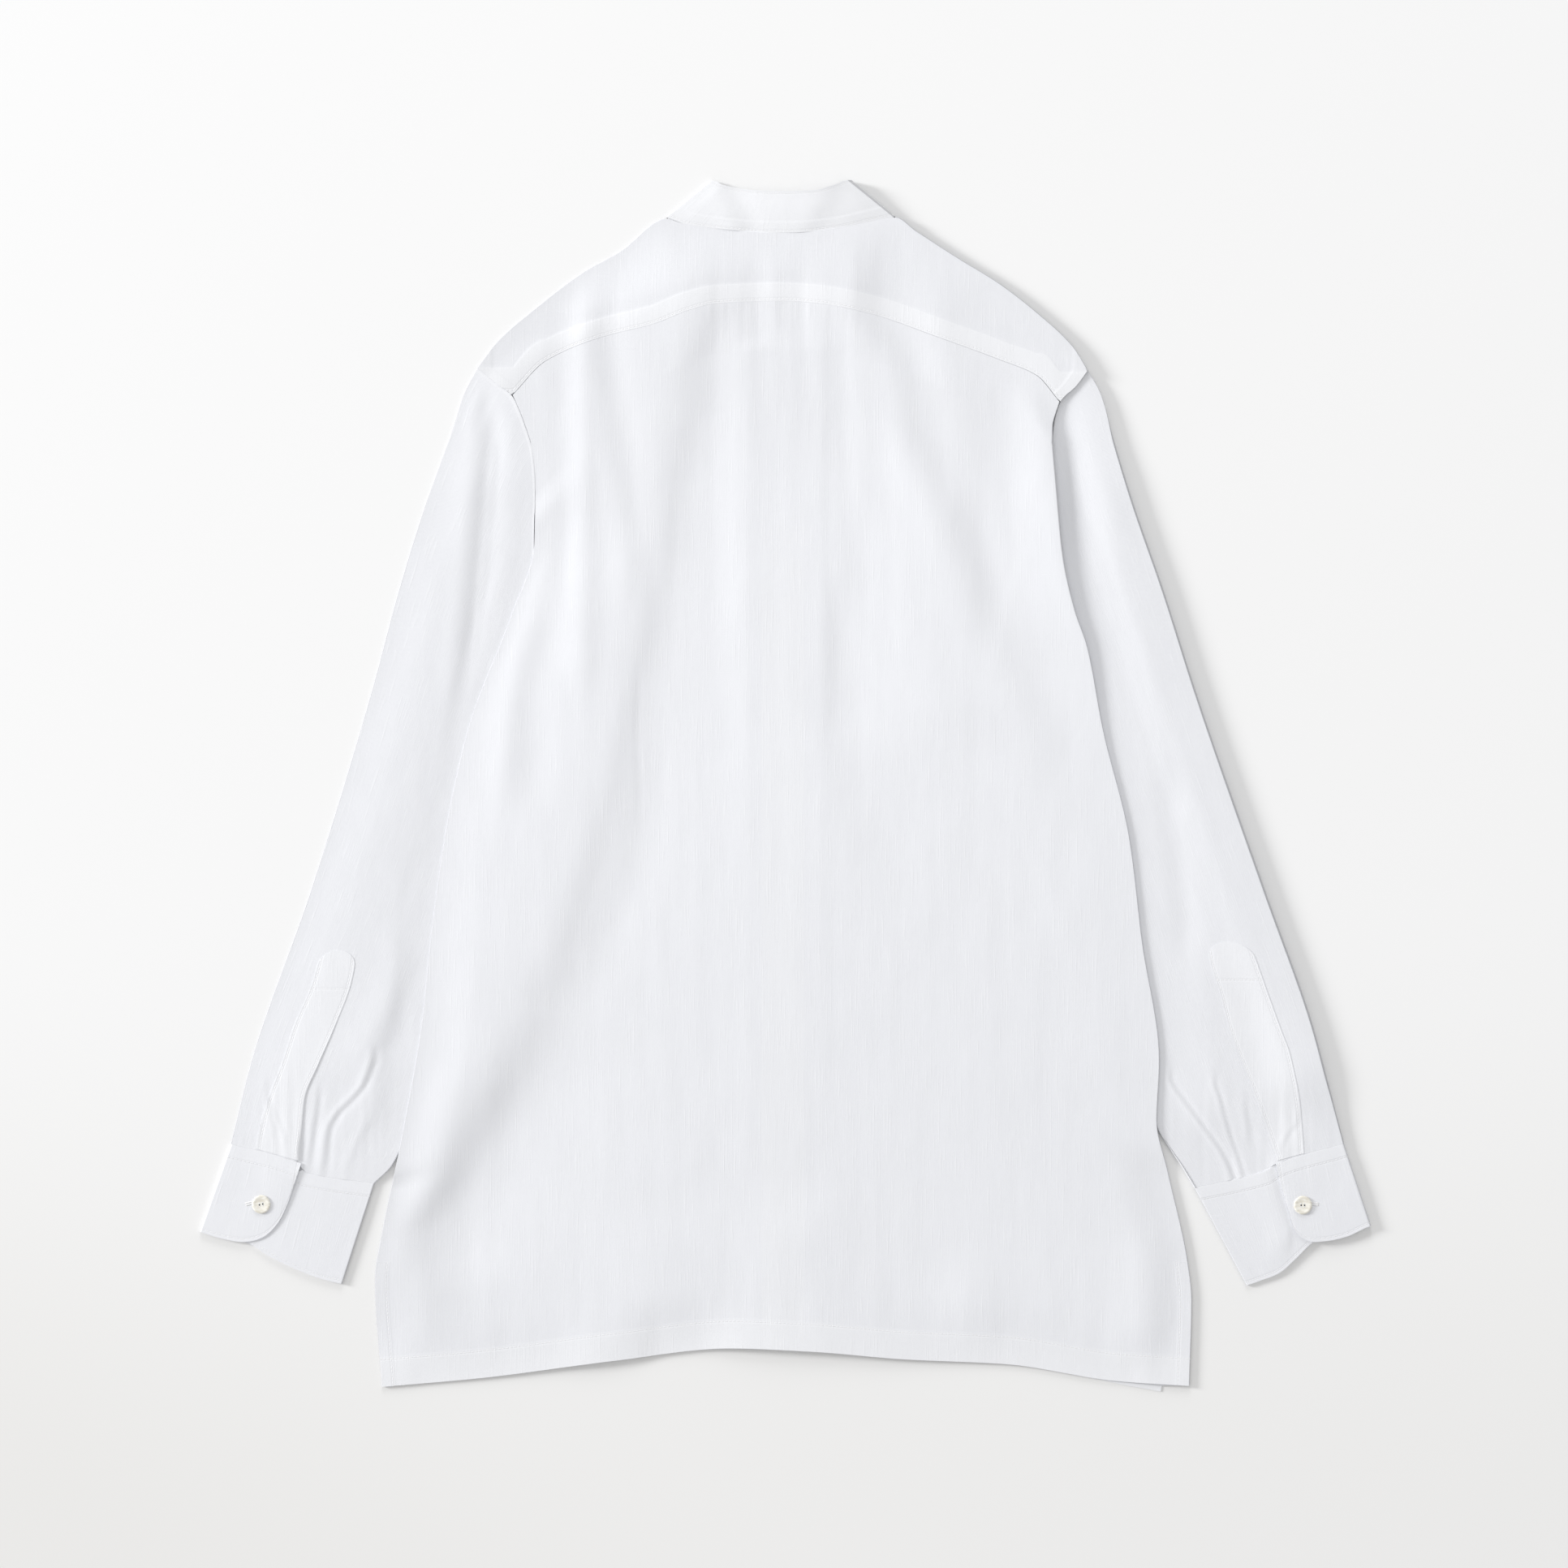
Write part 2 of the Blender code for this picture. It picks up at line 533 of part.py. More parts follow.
def yoke_point(column, row):
    """The yoke, from its front seam round the shoulder edge to the back seam."""
    part = YOKE_X[column]
    at_neck = NECK_LEFT / 208.7 < part < NECK_RIGHT / 204.6
    side = side_of(part)
    shoulder_x = SIGN[side] * shoulder_reach(side, abs(part))
    seam_x = (-YOKE_SEAM[0][0] if part < 0.0 else YOKE_SEAM[-1][0]) * part
    shoulder_y = read(SHOULDER, shoulder_x)
    seam_y = read(YOKE_SEAM, seam_x)
    bend = YOKE_ROUND
    fold = YOKE_UNDER + FOLD_STEPS
    if row <= YOKE_UNDER:
        reach, foot_y = yoke_foot(side, abs(part))
        over = row / YOKE_UNDER
        start_y = shoulder_y - 0.5 * WALL - bend
        return (mix(SIGN[side] * reach, shoulder_x, over),
                mix(foot_y + 0.5 * SEAM, start_y, over), 0.5 * WALL)
    if row < fold:
        inward, up = arc((row - YOKE_UNDER) / FOLD_STEPS, bend)
        return shoulder_x, shoulder_y - 0.5 * WALL - inward, 0.5 * WALL + up
    down = (row - fold) / YOKE_TOP
    start_y = read(NECK_SEAM, shoulder_x) if at_neck else shoulder_y - 0.5 * WALL - bend
    y = mix(start_y, seam_y, down)
    x = mix(shoulder_x, seam_x, down)
    if abs(part) == 1.0:
        x = SIGN[side] * (read(ARMHOLE[side], y) - YOKE_ARMHOLE_SEAM)
    start_z = 0.5 * WALL + 2.0 * bend
    seam_z = back_height(seam_x * 0.985, seam_y - 1.0)
    return x, y, mix(start_z, seam_z, ease(down * 1.15))


def in_neck(column, row):
    """Faces of the yoke's grid that fall in the neck opening."""
    inside = (NECK_LEFT / 208.7 - 0.01 < YOKE_X[column]
              and YOKE_X[column + 1] < NECK_RIGHT / 204.6 + 0.01)
    return inside and row < YOKE_UNDER + FOLD_STEPS


def make_yoke(collection):
    rows = YOKE_UNDER + FOLD_STEPS + YOKE_TOP
    sheet("yoke", len(YOKE_X) - 1, rows, yoke_point, WALL, collection, drop=in_neck)


def neckline(reach, half):
    """Height of the front neckline at a distance from the centre line."""
    part = min(reach / half, 1.0)
    return 384.0 - (384.0 - NECK_FRONT_Y) * math.sqrt(max(1.0 - part * part, 0.0))


# rows of a front, by their height at the side edge
FRONT_ROW_Y = [268.5, 258.0, 246.0, 224.0, 198.0, 163.0, 120.0, 90.0, 60.0, 35.0, -30.0, -100.0,
               -175.0, -238.0, -300.0, -345.0, -403.0]
NECK_CORNER = 75.5      # reach of the neckline's upper end on a front
# Part of the way to the band at the hem: of the columns that meet the yoke's, and
# of those along the neckline, after their reach at the top edge
FRONT_SHARES = [0.0, 0.05, 0.11, 0.19, 0.28, 0.38, 0.47, 0.56]
NECKLINE_STATIONS = [(71.0, 0.65), (65.0, 0.72), (56.0, 0.79), (44.0, 0.86),
                     (30.0, 0.93), (16.5, 1.0)]


def front_point(side, column, row):
    """A front panel, from its side edge to the free edge of its button band."""
    sign = SIGN[side]
    inner = BAND_LEFT if side == "left" else BAND_RIGHT
    free = BAND_RIGHT if side == "left" else BAND_LEFT
    corner = abs(NECK_LEFT if side == "left" else NECK_RIGHT) - 5.0
    met = len(FRONT_SHARES)
    last = met + len(NECKLINE_STATIONS) - 1
    hem_x, hem_y = FRONT_HEM[0 if side == "left" else -1]
    top_side_y = yoke_foot(side, 1.0)[1] - 0.8 * SEAM
    side_y = {0: top_side_y, len(FRONT_ROW_Y) - 1: hem_y}.get(row, FRONT_ROW_Y[row])
    down = (top_side_y - side_y) / (top_side_y - hem_y)
    edge = sign * front_side(side, side_y)
    top_edge = sign * front_side(side, top_side_y)
    if column > last:
        top_x = hem_x = x = mix(inner, free, (column - last) / 2.0)
        top_y = neckline(abs(top_x), corner)
    else:
        if column < met:
            reach, foot_y = yoke_foot(side, SHOULDER_PARTS[side][column])
            top_x, top_y = sign * min(reach, abs(top_edge)), foot_y - 0.8 * SEAM
            hem_part = FRONT_SHARES[column]
        else:
            reach, hem_part = NECKLINE_STATIONS[column - met]
            top_x = sign * reach * corner / NECK_CORNER if column < last else inner
            top_y = neckline(abs(top_x), corner)
        hem_x = mix(hem_x, inner, hem_part)
        top_part = (top_x - top_edge) / (inner - top_edge)
        x = mix(edge, inner, mix(top_part, hem_part, down))
    y = mix(top_y, read(FRONT_HEM, hem_x), down)
    return x, y, front_height(side, x, y)


def make_fronts(collection):
    columns = len(FRONT_SHARES) + len(NECKLINE_STATIONS) + 1
    for side in SIDES:
        sheet("front_" + side, columns, len(FRONT_ROW_Y) - 1,
              lambda column, row, side=side: front_point(side, column, row),
              WALL, collection)


SLEEVE_ROWS = 18
SLEEVE_TOP = 18
SLEEVE_UNDER = 8


def sleeve_plan(side, across, down, upper=True):
    """Plan position on a sleeve pressed flat: 0 is its outer edge, 1 its inner."""
    outer, inner = SLEEVE_OUTER[side], SLEEVE_INNER[side]
    shoulder_y, cuff_y = outer[-1][0], outer[0][0]
    hem_y = inner[0][0]

    def armhole(part):
        y = mix(shoulder_y, UNDERARM_Y, part)
        return read(ARMHOLE[side], y), y

    def cuff(part):
        rows = SLEEVE_END[side] if upper else SLEEVE_END[side][::len(SLEEVE_END[side]) - 1]
        return read(rows, part, 1), read(rows, part, 2)

    def outer_edge(part):
        y = mix(shoulder_y, cuff_y, part)
        return read(outer, y), y

    def inner_edge(part):
        y = mix(UNDERARM_Y, hem_y, part)
        return read(inner, y), y

    spot = []
    for axis in (0, 1):
        ends = mix(armhole(across)[axis], cuff(across)[axis], down)
        edges = mix(outer_edge(down)[axis], inner_edge(down)[axis], across)
        corners = mix(mix(armhole(0.0)[axis], armhole(1.0)[axis], across),
                      mix(cuff(0.0)[axis], cuff(1.0)[axis], across), down)
        spot.append(ends + edges - corners)
    return spot


def sleeve_point(side, column, row):
    """A ring of a sleeve: over the top, round the inner edge, back underneath."""
    down = row / SLEEVE_ROWS
    start, end = sleeve_plan(side, 0.0, down), sleeve_plan(side, 1.0, down)
    width = math.dist(start, end)
    bend = 0.5 * (SLEEVE_FLAT - WALL)
    skin = 0.5 * WALL
    ring = SLEEVE_TOP + SLEEVE_UNDER + 2 * FOLD_STEPS
    column %= ring
    if column <= SLEEVE_TOP:
        inset = mix(skin + bend, width - skin - bend, column / SLEEVE_TOP)
        x, y = sleeve_plan(side, inset / width, down)
        return SIGN[side] * x, y, sleeve_height(side, x, y)
    column -= SLEEVE_TOP
    if column < FOLD_STEPS:
        inward, up = arc(1.0 - column / FOLD_STEPS, bend)
        x, y = sleeve_plan(side, 1.0 - (skin + inward) / width, down)
        return SIGN[side] * x, y, skin + up
    column -= FOLD_STEPS
    if column <= SLEEVE_UNDER:
        inset = mix(width - skin - bend, skin + bend, column / SLEEVE_UNDER)
        x, y = sleeve_plan(side, inset / width, down, upper=False)
        return SIGN[side] * x, y, skin
    inward, up = arc((column - SLEEVE_UNDER) / FOLD_STEPS, bend)
    x, y = sleeve_plan(side, (skin + inward) / width, down)
    return SIGN[side] * x, y, skin + up


def make_sleeves(collection):
    ring = SLEEVE_TOP + SLEEVE_UNDER + 2 * FOLD_STEPS
    for side in SIDES:
        sheet("sleeve_" + side, ring, SLEEVE_ROWS,
              lambda column, row, side=side: sleeve_point(side, column, row),
              WALL, collection, tube=True)


CUFF_SLOPE = 0.28       # of the cuff's seam across the sleeve
PLACKET_GAP = 0.7       # clears the pleats beside it
PLACKET_ROWS = 11
PLACKET_COLUMNS = 4


def placket_point(side, column, row):
    """A placket, laid on the sleeve's own points and moved out."""
    rows = PLACKET[side]
    y = mix(rows[-1][0], rows[0][0], (row / PLACKET_ROWS) ** 1.25)
    reach = mix(read(rows, y, 1), read(rows, y, 2), column / PLACKET_COLUMNS)
    middle = 0.5 * (read(rows, y, 1) + read(rows, y, 2))
    y += CUFF_SLOPE * (reach - middle) * ease((-190.0 - y) / 50.0)
    return SIGN[side] * reach, y, sleeve_height(side, reach, y) + WALL + PLACKET_GAP


def make_plackets(collection):
    for side in SIDES:
        sheet("sleeve_placket_" + side, PLACKET_COLUMNS, PLACKET_ROWS,
              lambda column, row, side=side: placket_point(side, column, row),
              WALL, collection)


CUFF_DEPTH_STEPS = 3


def cuff_rungs(side):
    """Turn a cuff's table into rungs with heights, each fold as a half round."""
    rungs = []
    rows = CUFF[side]
    for index, (layer, reach, y, low_reach, low_y) in enumerate(rows):
        if not layer.endswith("fold"):
            rungs.append((reach, y, low_reach, low_y, CUFF_LEVEL[layer]))
            continue
        before, after = CUFF_LEVEL[rows[index - 1][0]], CUFF_LEVEL[rows[index + 1][0]]
        bend = 0.5 * abs(before - after)
        outward = 1.0 if layer == "outer fold" else -1.0
        for step in range(FOLD_STEPS + 1):
            inward, up = arc(step / FOLD_STEPS, bend)
            back = outward * (inward + 0.5 * FIRM_WALL)
            drop = CUFF_SLOPE * back
            height = min(before, after) + (up if before < after else 2.0 * bend - up)
            rungs.append((reach - back, y - drop, low_reach - back, low_y - drop, height))
    return rungs


def make_cuffs(collection):
    for side in SIDES:
        rungs = cuff_rungs(side)

        def place(column, row, side=side, rungs=rungs):
            reach, y, low_reach, low_y, height = rungs[column]
            down = row / CUFF_DEPTH_STEPS
            return SIGN[side] * mix(reach, low_reach, down), mix(y, low_y, down), height

        sheet("cuff_" + side, len(rungs) - 1, CUFF_DEPTH_STEPS, place, FIRM_WALL,
              collection)


COLLAR_BACK_STEPS = 14
COLLAR_FRONT_STEPS = 8
COLLAR_RISE_STEPS = 3
COLLAR_SEAM_Z = 3.1     # middle of the collar at the back neck seam
COLLAR_CREST_Z = 6.2    # and at its top edge, where it stands up a little


def collar_rungs():
    """Rungs of the collar from the left front end round the back to the right."""
    skin = 0.5 * FIRM_WALL
    rungs = []
    for side in SIDES:
        sign = SIGN[side]
        corner = NECK_LEFT if side == "left" else NECK_RIGHT
        top = COLLAR_TOP[0 if side == "left" else -1]
        half = abs(corner) - 5.0
        front = []
        for step in range(COLLAR_FRONT_STEPS):
            turn = mix(0.5 * math.pi, 0.12, step / (COLLAR_FRONT_STEPS - 1))
            x = sign * half * math.cos(turn)
            y = 384.0 - (384.0 - NECK_FRONT_Y) * math.sin(turn)
            x -= sign * SEAM * 2.0 * math.cos(turn)
            y += SEAM * 2.0 * math.sin(turn)
            lean = mix(0.5 * math.pi, 0.84, step / (COLLAR_FRONT_STEPS - 1))
            if step == 0:
                x += sign * (GAP + 0.2)
            front.append((x, y, x - sign * COLLAR_HEIGHT * math.cos(lean),
                          y + COLLAR_HEIGHT * math.sin(lean), skin, skin))
        rungs.append(front)
        roll = []
        for step in range(FOLD_STEPS + 1):
            low_in, low_up = arc(step / FOLD_STEPS, 0.5 * (COLLAR_SEAM_Z - skin))
            high_in, high_up = arc(step / FOLD_STEPS, 0.5 * (COLLAR_CREST_Z - skin))
            seam_x = corner + sign * 0.6 - sign * (skin + low_in)
            top_x = top[0] - sign * (skin + high_in)
            roll.append((seam_x, 384.6, top_x, top[1] - 0.4, skin + low_up,
                         skin + high_up))
        rungs.append(roll)
    left_front, left_roll, right_front, right_roll = rungs
    across = []
    start, end = left_roll[-1], right_roll[-1]
    for step in range(1, COLLAR_BACK_STEPS):
        part = step / COLLAR_BACK_STEPS
        x = mix(start[0], end[0], part)
        top_x = mix(start[2], end[2], part)
        across.append((x, read(NECK_SEAM, x) + SEAM, top_x, read(COLLAR_TOP, top_x),
                       COLLAR_SEAM_Z, COLLAR_CREST_Z))
    return (left_front + left_roll + across + right_roll[::-1] + right_front[::-1])


def make_collar(collection):
    rungs = collar_rungs()

    def place(column, row):
        x, y, top_x, top_y, z, top_z = rungs[column]
        up = row / COLLAR_RISE_STEPS
        return mix(x, top_x, up), mix(y, top_y, up), mix(z, top_z, up)

    sheet("collar", len(rungs) - 1, COLLAR_RISE_STEPS, place, FIRM_WALL, collection)


def make_button(name, x, y, underside, collection):
    """A turned button: a rim, a dished middle and a flat underside."""
    radius = 0.5 * BUTTON_DIAMETER
    thick = BUTTON_THICKNESS
    # columns: distance from the axis, height; top to bottom on the outside
    profile = [(0.0, thick - 0.7), (radius - 2.6, thick - 0.7), (radius - 1.4, thick),
               (radius - 0.4, thick - 0.1), (radius, thick - 0.6),
               (radius - 0.6, 0.0), (0.0, 0.0)]
    mesh = bpy.data.meshes.new(name)
    points = [(out * MM, 0.0, up * MM) for out, up in profile]
    edges = [(index, index + 1) for index in range(len(points) - 1)]
    mesh.from_pydata(points, edges, [])
    item = link(name, mesh, shell(), collection)
    item.location = (x * MM, y * MM, underside * MM)
    turned = item.modifiers.new("turned", "SCREW")
    turned.steps = 16
    turned.render_steps = 16
    turned.use_merge_vertices = True
    turned.merge_threshold = 1e-5
    turned.use_smooth_shade = True
    return item


def make_buttons(collection):
    for index in range(FRONT_BUTTONS):
        make_button(f"front_button_{index + 1}", 0.5 * (BAND_LEFT + BAND_RIGHT),
                    FIRST_BUTTON_Y - BUTTON_PITCH * index, 0.0, collection)
    cuff_top = CUFF_LEVEL["over"] + 0.5 * FIRM_WALL + GAP
    for side in SIDES:
        reach, y = CUFF_BUTTON[side]
        make_button("cuff_button_" + side, SIGN[side] * reach, y, cuff_top, collection)


def main():
    for item in list(bpy.data.objects):
        bpy.data.objects.remove(item, do_unlink=True)
    collection = bpy.data.collections.new("mandarin_collar_shirt")
    bpy.context.scene.collection.children.link(collection)
    make_back(collection)
    make_yoke(collection)
    make_fronts(collection)
    make_sleeves(collection)
    make_plackets(collection)
    make_cuffs(collection)
    make_collar(collection)
    make_buttons(collection)


main()
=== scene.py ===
"""Dresses a mandarin collar shirt that lies flat with its back up.

The cloth pieces are grids mapped by the shirt's own functions, in millimetres,
and given a wall by Solidify. The finished meshes are in metres, with +X to the
wearer's right, +Y to the collar and +Z up.
"""
import math

import bmesh
import bpy
from bpy.props import FloatProperty, FloatVectorProperty, PointerProperty
from mathutils import Matrix, Vector, noise


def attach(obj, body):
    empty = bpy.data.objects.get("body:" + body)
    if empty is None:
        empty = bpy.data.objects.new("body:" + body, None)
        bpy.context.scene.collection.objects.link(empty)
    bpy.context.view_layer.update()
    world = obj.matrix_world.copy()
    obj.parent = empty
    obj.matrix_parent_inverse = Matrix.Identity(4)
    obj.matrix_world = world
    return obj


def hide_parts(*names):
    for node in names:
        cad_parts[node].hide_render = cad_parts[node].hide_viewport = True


bl_info = {
    "name": "Mandarin Collar Shirt",
    "version": (1, 0, 0),
    "blender": (4, 5, 0),
    "location": "3D View > Sidebar > Shirt",
    "description": "Builds a white linen shirt with a stand collar, laid flat",
    "category": "Add Mesh",
}

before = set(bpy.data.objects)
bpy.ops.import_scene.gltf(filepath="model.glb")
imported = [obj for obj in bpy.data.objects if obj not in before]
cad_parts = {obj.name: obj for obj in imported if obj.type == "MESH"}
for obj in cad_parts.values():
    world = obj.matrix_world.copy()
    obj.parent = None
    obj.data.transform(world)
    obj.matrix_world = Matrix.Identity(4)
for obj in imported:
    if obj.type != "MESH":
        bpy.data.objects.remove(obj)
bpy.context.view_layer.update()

MM = 0.001

# ---------------------------------------------------------------- driving sizes
WALL = 0.4              # one layer of cloth
FIRM_WALL = 0.8         # collar and cuffs, which are made of two layers
GAP = 0.1               # between two layers
SKIN = 0.5 * WALL       # from the middle of a layer to its faces
FIRM_SKIN = 0.5 * FIRM_WALL
SECOND = 1.5 * WALL + GAP   # middle of a layer that lies on another one
SEAM = 0.02             # how far a piece stands back from its neighbour's edge
ARMHOLE_SEAM = 0.05     # and from the armhole, whose curve is tighter
SLEEVE_FLAT = 2.0       # a pressed sleeve, top to bottom
SLEEVE_LIFT = 1.6       # what a sleeve adds under the body's side
BAND_LIFT = 1.85        # what the front buttons add under the button band
BUTTON_THICKNESS = 0.95
FRONT_BUTTONS = 6
FIRST_BUTTON_Y = 268.0
BUTTON_PITCH = 85.0
BAND_LEFT = -16.5       # edges of the overlapping button bands
BAND_RIGHT = 12.5
LAP = 4.0               # side seam: the back's turned edge laps the front
UNDERARM_Y = 60.0
FAR = 60.0              # stands for a distance from a seam that is not near
COLLAR_HEIGHT = 35.0
FOLD_STEPS = 4          # segments round a folded edge

# ------------------------------------------------- outlines, measured in reach
# reach is the distance from the centre line, so both sides read the same way.
# columns: y, reach
BODY_EDGE = {
    "left": [(-407, 273.4), (-333.3, 278.1), (-305.8, 273.9), (-242.6, 260.7), (-158.4, 245.9),
        (-106.2, 240.4), (-30.8, 229.9), (37.4, 215.1), (114.4, 185.9), (163.4, 170),
        (198.6, 169.4), (224.4, 171), (245.9, 177.1), (264.6, 184.8)],
    "right": [(-406.3, 273.4), (-347.6, 275), (-325.6, 272.8), (-261, 258.8), (-227, 251.2),
        (-185.9, 253), (-106.2, 241.5), (-35.2, 232.7), (37.4, 215.1), (93.2, 204.6),
        (119.4, 195.8), (154.6, 188.1), (189.8, 184.6), (242.3, 180.8), (259.8, 185.4)],
}
ARMHOLE = {
    "left": [(60, 147), (120, 162), (163.4, 170.4), (198.6, 169.9), (224.4, 171.5),
        (245.9, 177.6), (264.6, 186), (273, 197), (282.7, 208.7)],
    "right": [(60, 147), (120, 164), (163, 176), (198, 180), (225, 180.6), (242, 181.4),
        (259.8, 186), (270.3, 196.5), (281.1, 204.6)],
}
SLEEVE_OUTER = {
    "left": [(-242.5, 375.5), (-182.1, 360.3), (-72.6, 322), (64.9, 280), (128.7, 262.9),
        (182.6, 246.4), (244.8, 224.4), (265, 218), (282.7, 208.7)],
    "right": [(-242, 377.9), (-200.2, 366.9), (-160.1, 356.1), (-72.6, 325.1), (61.6, 278.3),
        (132, 255.8), (193.1, 234.6), (233.5, 222.2), (265.1, 213.4), (281.1, 204.6)],
}
SLEEVE_INNER = {
    "left": [(-269.3, 278.3), (-257, 266), (-235, 256), (-200, 244), (-100, 209), (0, 171),
        (60, 147)],
    "right": [(-272.3, 276.7), (-258.5, 268.4), (-246, 260), (-233, 252), (-200, 241),
        (-100, 208), (0, 170), (60, 147)],
}
FRONT_EDGE = {
    "left": [(-407, 270), (-330, 272), (-300, 264), (-257, 250), (-200, 232), (-100, 198),
        (0, 160), (35, 146), (60, 146)],
    "right": [(-410.3, 254), (-330, 266), (-300, 261), (-245, 245), (-200, 230), (-100, 197),
        (0, 159), (35, 146), (60, 146)],
}
# the sleeve's end at the cuff; columns: part of the way in, reach, y
SLEEVE_END = {
    "left": [(0, 375.5, -242.5), (0.46, 332, -254.3), (0.54, 324, -261.8), (1, 278.3, -269.3)],
    "right": [(0, 377.9, -242), (0.47, 331, -256.2), (0.53, 326, -260), (1, 276.7, -272.3)],
}
# y above which the body no longer lies on the sleeve, and how gradually it gives way
COVER_TOP = {"left": 200.0, "right": 255.0}
COVER_FADE = 25.0
# radius of the back's folded edge; columns: y, radius
EDGE_ROUND = {
    "left": [(-407, 0.3), (165, 0.3), (215, 0.8), (265, 0.8)],
    "right": [(-407, 0.6), (0, 0.5), (60, 0.9), (130, 1.6), (200, 1.9), (262, 1.8)],
}
PRESSED = 0.5           # how round a pressed fold stays
SEAMED = 0.1            # and where the fold gives way to the armhole's seam

# columns: x, y
YOKE_SEAM = [(-184.8, 264.6), (-162.3, 287.5), (-123.8, 303.6), (-88.6, 312.5), (-65.5, 321.5),
    (-47.6, 326), (-3.4, 327.9), (20.1, 326.4), (58.3, 319), (105.6, 302.5), (145.2, 288),
    (170, 277.5), (185.4, 259.8)]
HEM = [(-273.4, -407), (-205.9, -401), (-113.9, -388.9), (-35.2, -380.8), (16, -382.8),
    (81.4, -388.3), (149.1, -391.6), (223.9, -403), (273.4, -406.3)]
FRONT_HEM = [(-270, -403), (-113.9, -385), (0, -379), (149.1, -389), (191, -396.6), (216, -403.3),
    (254, -410.3)]
SHOULDER = [(-208.7, 282.7), (-194.9, 300.9), (-171.4, 321.4), (-136, 348.2), (-112.4, 361.4),
    (-80.5, 384), (74, 385.2), (88, 375.9), (117.2, 357), (143.9, 340.6), (170.4, 320.1),
    (194, 297.9), (204.6, 281.1)]
# the yoke's seam to the fronts, underneath; columns: reach, y
FRONT_SEAM = {
    "left": [(76.5, 358.5), (112.4, 335.4), (136, 322.2), (171.4, 294.8), (184, 281.5),
        (194, 270)],
    "right": [(70, 361.5), (88, 350), (117.2, 331), (143.9, 314.6), (170.4, 292), (182, 279),
        (191, 268)],
}
NECK_SEAM = [(-80.5, 384), (-67.8, 380.2), (-44.6, 376.8), (-10.1, 374.2), (7.2, 374.2),
    (31.6, 376.6), (44, 378.8), (74, 385.2)]
COLLAR_TOP = [(-50.6, 409.8), (-42, 406.5), (-17.6, 402.6), (2.2, 402.1), (19.3, 402.6),
    (35.2, 407), (45.1, 409.5)]
NECK = {"left": -80.5, "right": 74.0}
NECK_Y = 384.0          # the front neckline's upper ends
NECK_FRONT_Y = 303.0    # and its lowest point, at the centre front
NECK_INSET = 5.0        # how far the neckline's ends are inside the collar's corners

# The back's folds. A slope has its crest on the left of the line and its trough
# on the right; a drop is a slope that recovers slowly; a crest rises along the line.
# columns: kind, height, half width, line of (y, x) from the hem up
BACK_FOLDS = [
    ("drop", 1.5, 17, [(-300, -256), (-265, -226), (-243, -212), (-186, -181), (-156, -168)]),
    ("drop", 1.25, 11.5, [(-111, -149), (-30, -123), (26, -109), (92, -95), (158, -81),
        (219, -72), (274, -62), (323, -46)]),
    ("drop", 1.1, 22, [(-300, -258), (-265, -226), (-243, -213), (-200, -189)]),
    ("slope", -1, 40, [(60, 75), (150, 62), (260, 55)]),
    ("crest", -0.22, 1.7, [(0, -98.6), (28, -100.2), (55, -99.4)]),
    ("slope", 0.4, 9, [(153, -100.7), (213, -112), (303, -125.4)]),
    ("slope", 0.45, 14, [(135, 133), (180, 115), (230, 93), (285, 79), (323, 54)]),
    ("slope", 0.45, 15, [(30, 180), (65, 165), (120, 139), (180, 115), (230, 93), (285, 79),
        (323, 54)]),
    ("slope", 0.25, 18, [(-60, 62), (-3, 42), (82, 24)]),
    ("slope", 0.35, 12, [(-100, -125), (-45, -107), (5, -97)]),
    ("slope", 0.35, 8, [(178, -163), (220, -161), (262, -159)]),
    ("slope", 0.6, 11, [(20, -180), (67, -178), (114, -168), (150, -160)]),
    ("crest", 0.9, 8, [(90, -138), (200, -137), (290, -136)]),
    ("crest", 0.7, 8, [(120, -28), (240, -30), (326, -34)]),
    ("crest", 0.6, 7, [(200, 2), (326, -6)]),
    ("crest", 0.7, 8, [(150, 36), (240, 29), (324, 22)]),
    ("crest", 0.6, 8, [(210, 52), (320, 46)]),
    ("crest", 0.6, 10, [(200, 118), (300, 104)]),
    ("crest", 1, 26, [(-383, -96), (-320, -92)]),
    ("crest", 1.2, 34, [(-383, 6), (-310, 4)]),
    ("crest", 0.8, 14, [(-395, 130), (-350, 126)]),
    ("slope", 1, 16, [(-400, 248), (-360, 262), (-325, 266)]),
]
# The sleeves' folds, in reach; columns as above
SLEEVE_FOLDS = {
    "left": [
        ("slope", -0.55, 7, [(10, 224), (37, 221), (81, 218), (125, 214), (191, 207.5),
            (234, 204.5), (262, 205.5)]),
        ("crest", -0.8, 11, [(10, 218), (37, 215), (81, 211), (125, 207), (191, 200.5),
            (225, 198.5)]),
        ("crest", 0.2, 24, [(-200, 318), (-60, 272), (100, 236)]),
        ("slope", -0.9, 13, [(-180, 274), (-152, 259), (-125, 247)]),
        ("crest", 0.5, 9, [(-240, 296), (-200, 268)]),
    ],
    "right": [
        ("crest", 0.5, 18, [(-120, 300), (60, 246), (200, 212), (268, 203)]),
        ("crest", -0.8, 9, [(-90, 268), (-45, 262), (-20, 255)]),
        ("crest", 0.4, 20, [(-200, 340), (-60, 295), (100, 248), (230, 214)]),
        ("slope", 0.4, 9, [(-90, 262), (-50, 258), (-25, 252)]),
    ],
}
FOLD_FADE = 45.0        # length over which a fold dies away past its ends
SLOPE_GAIN = 1.65       # brings a slope's crest to its full height
DROP_FADE = 55.0        # half width over which a drop's two sides recover

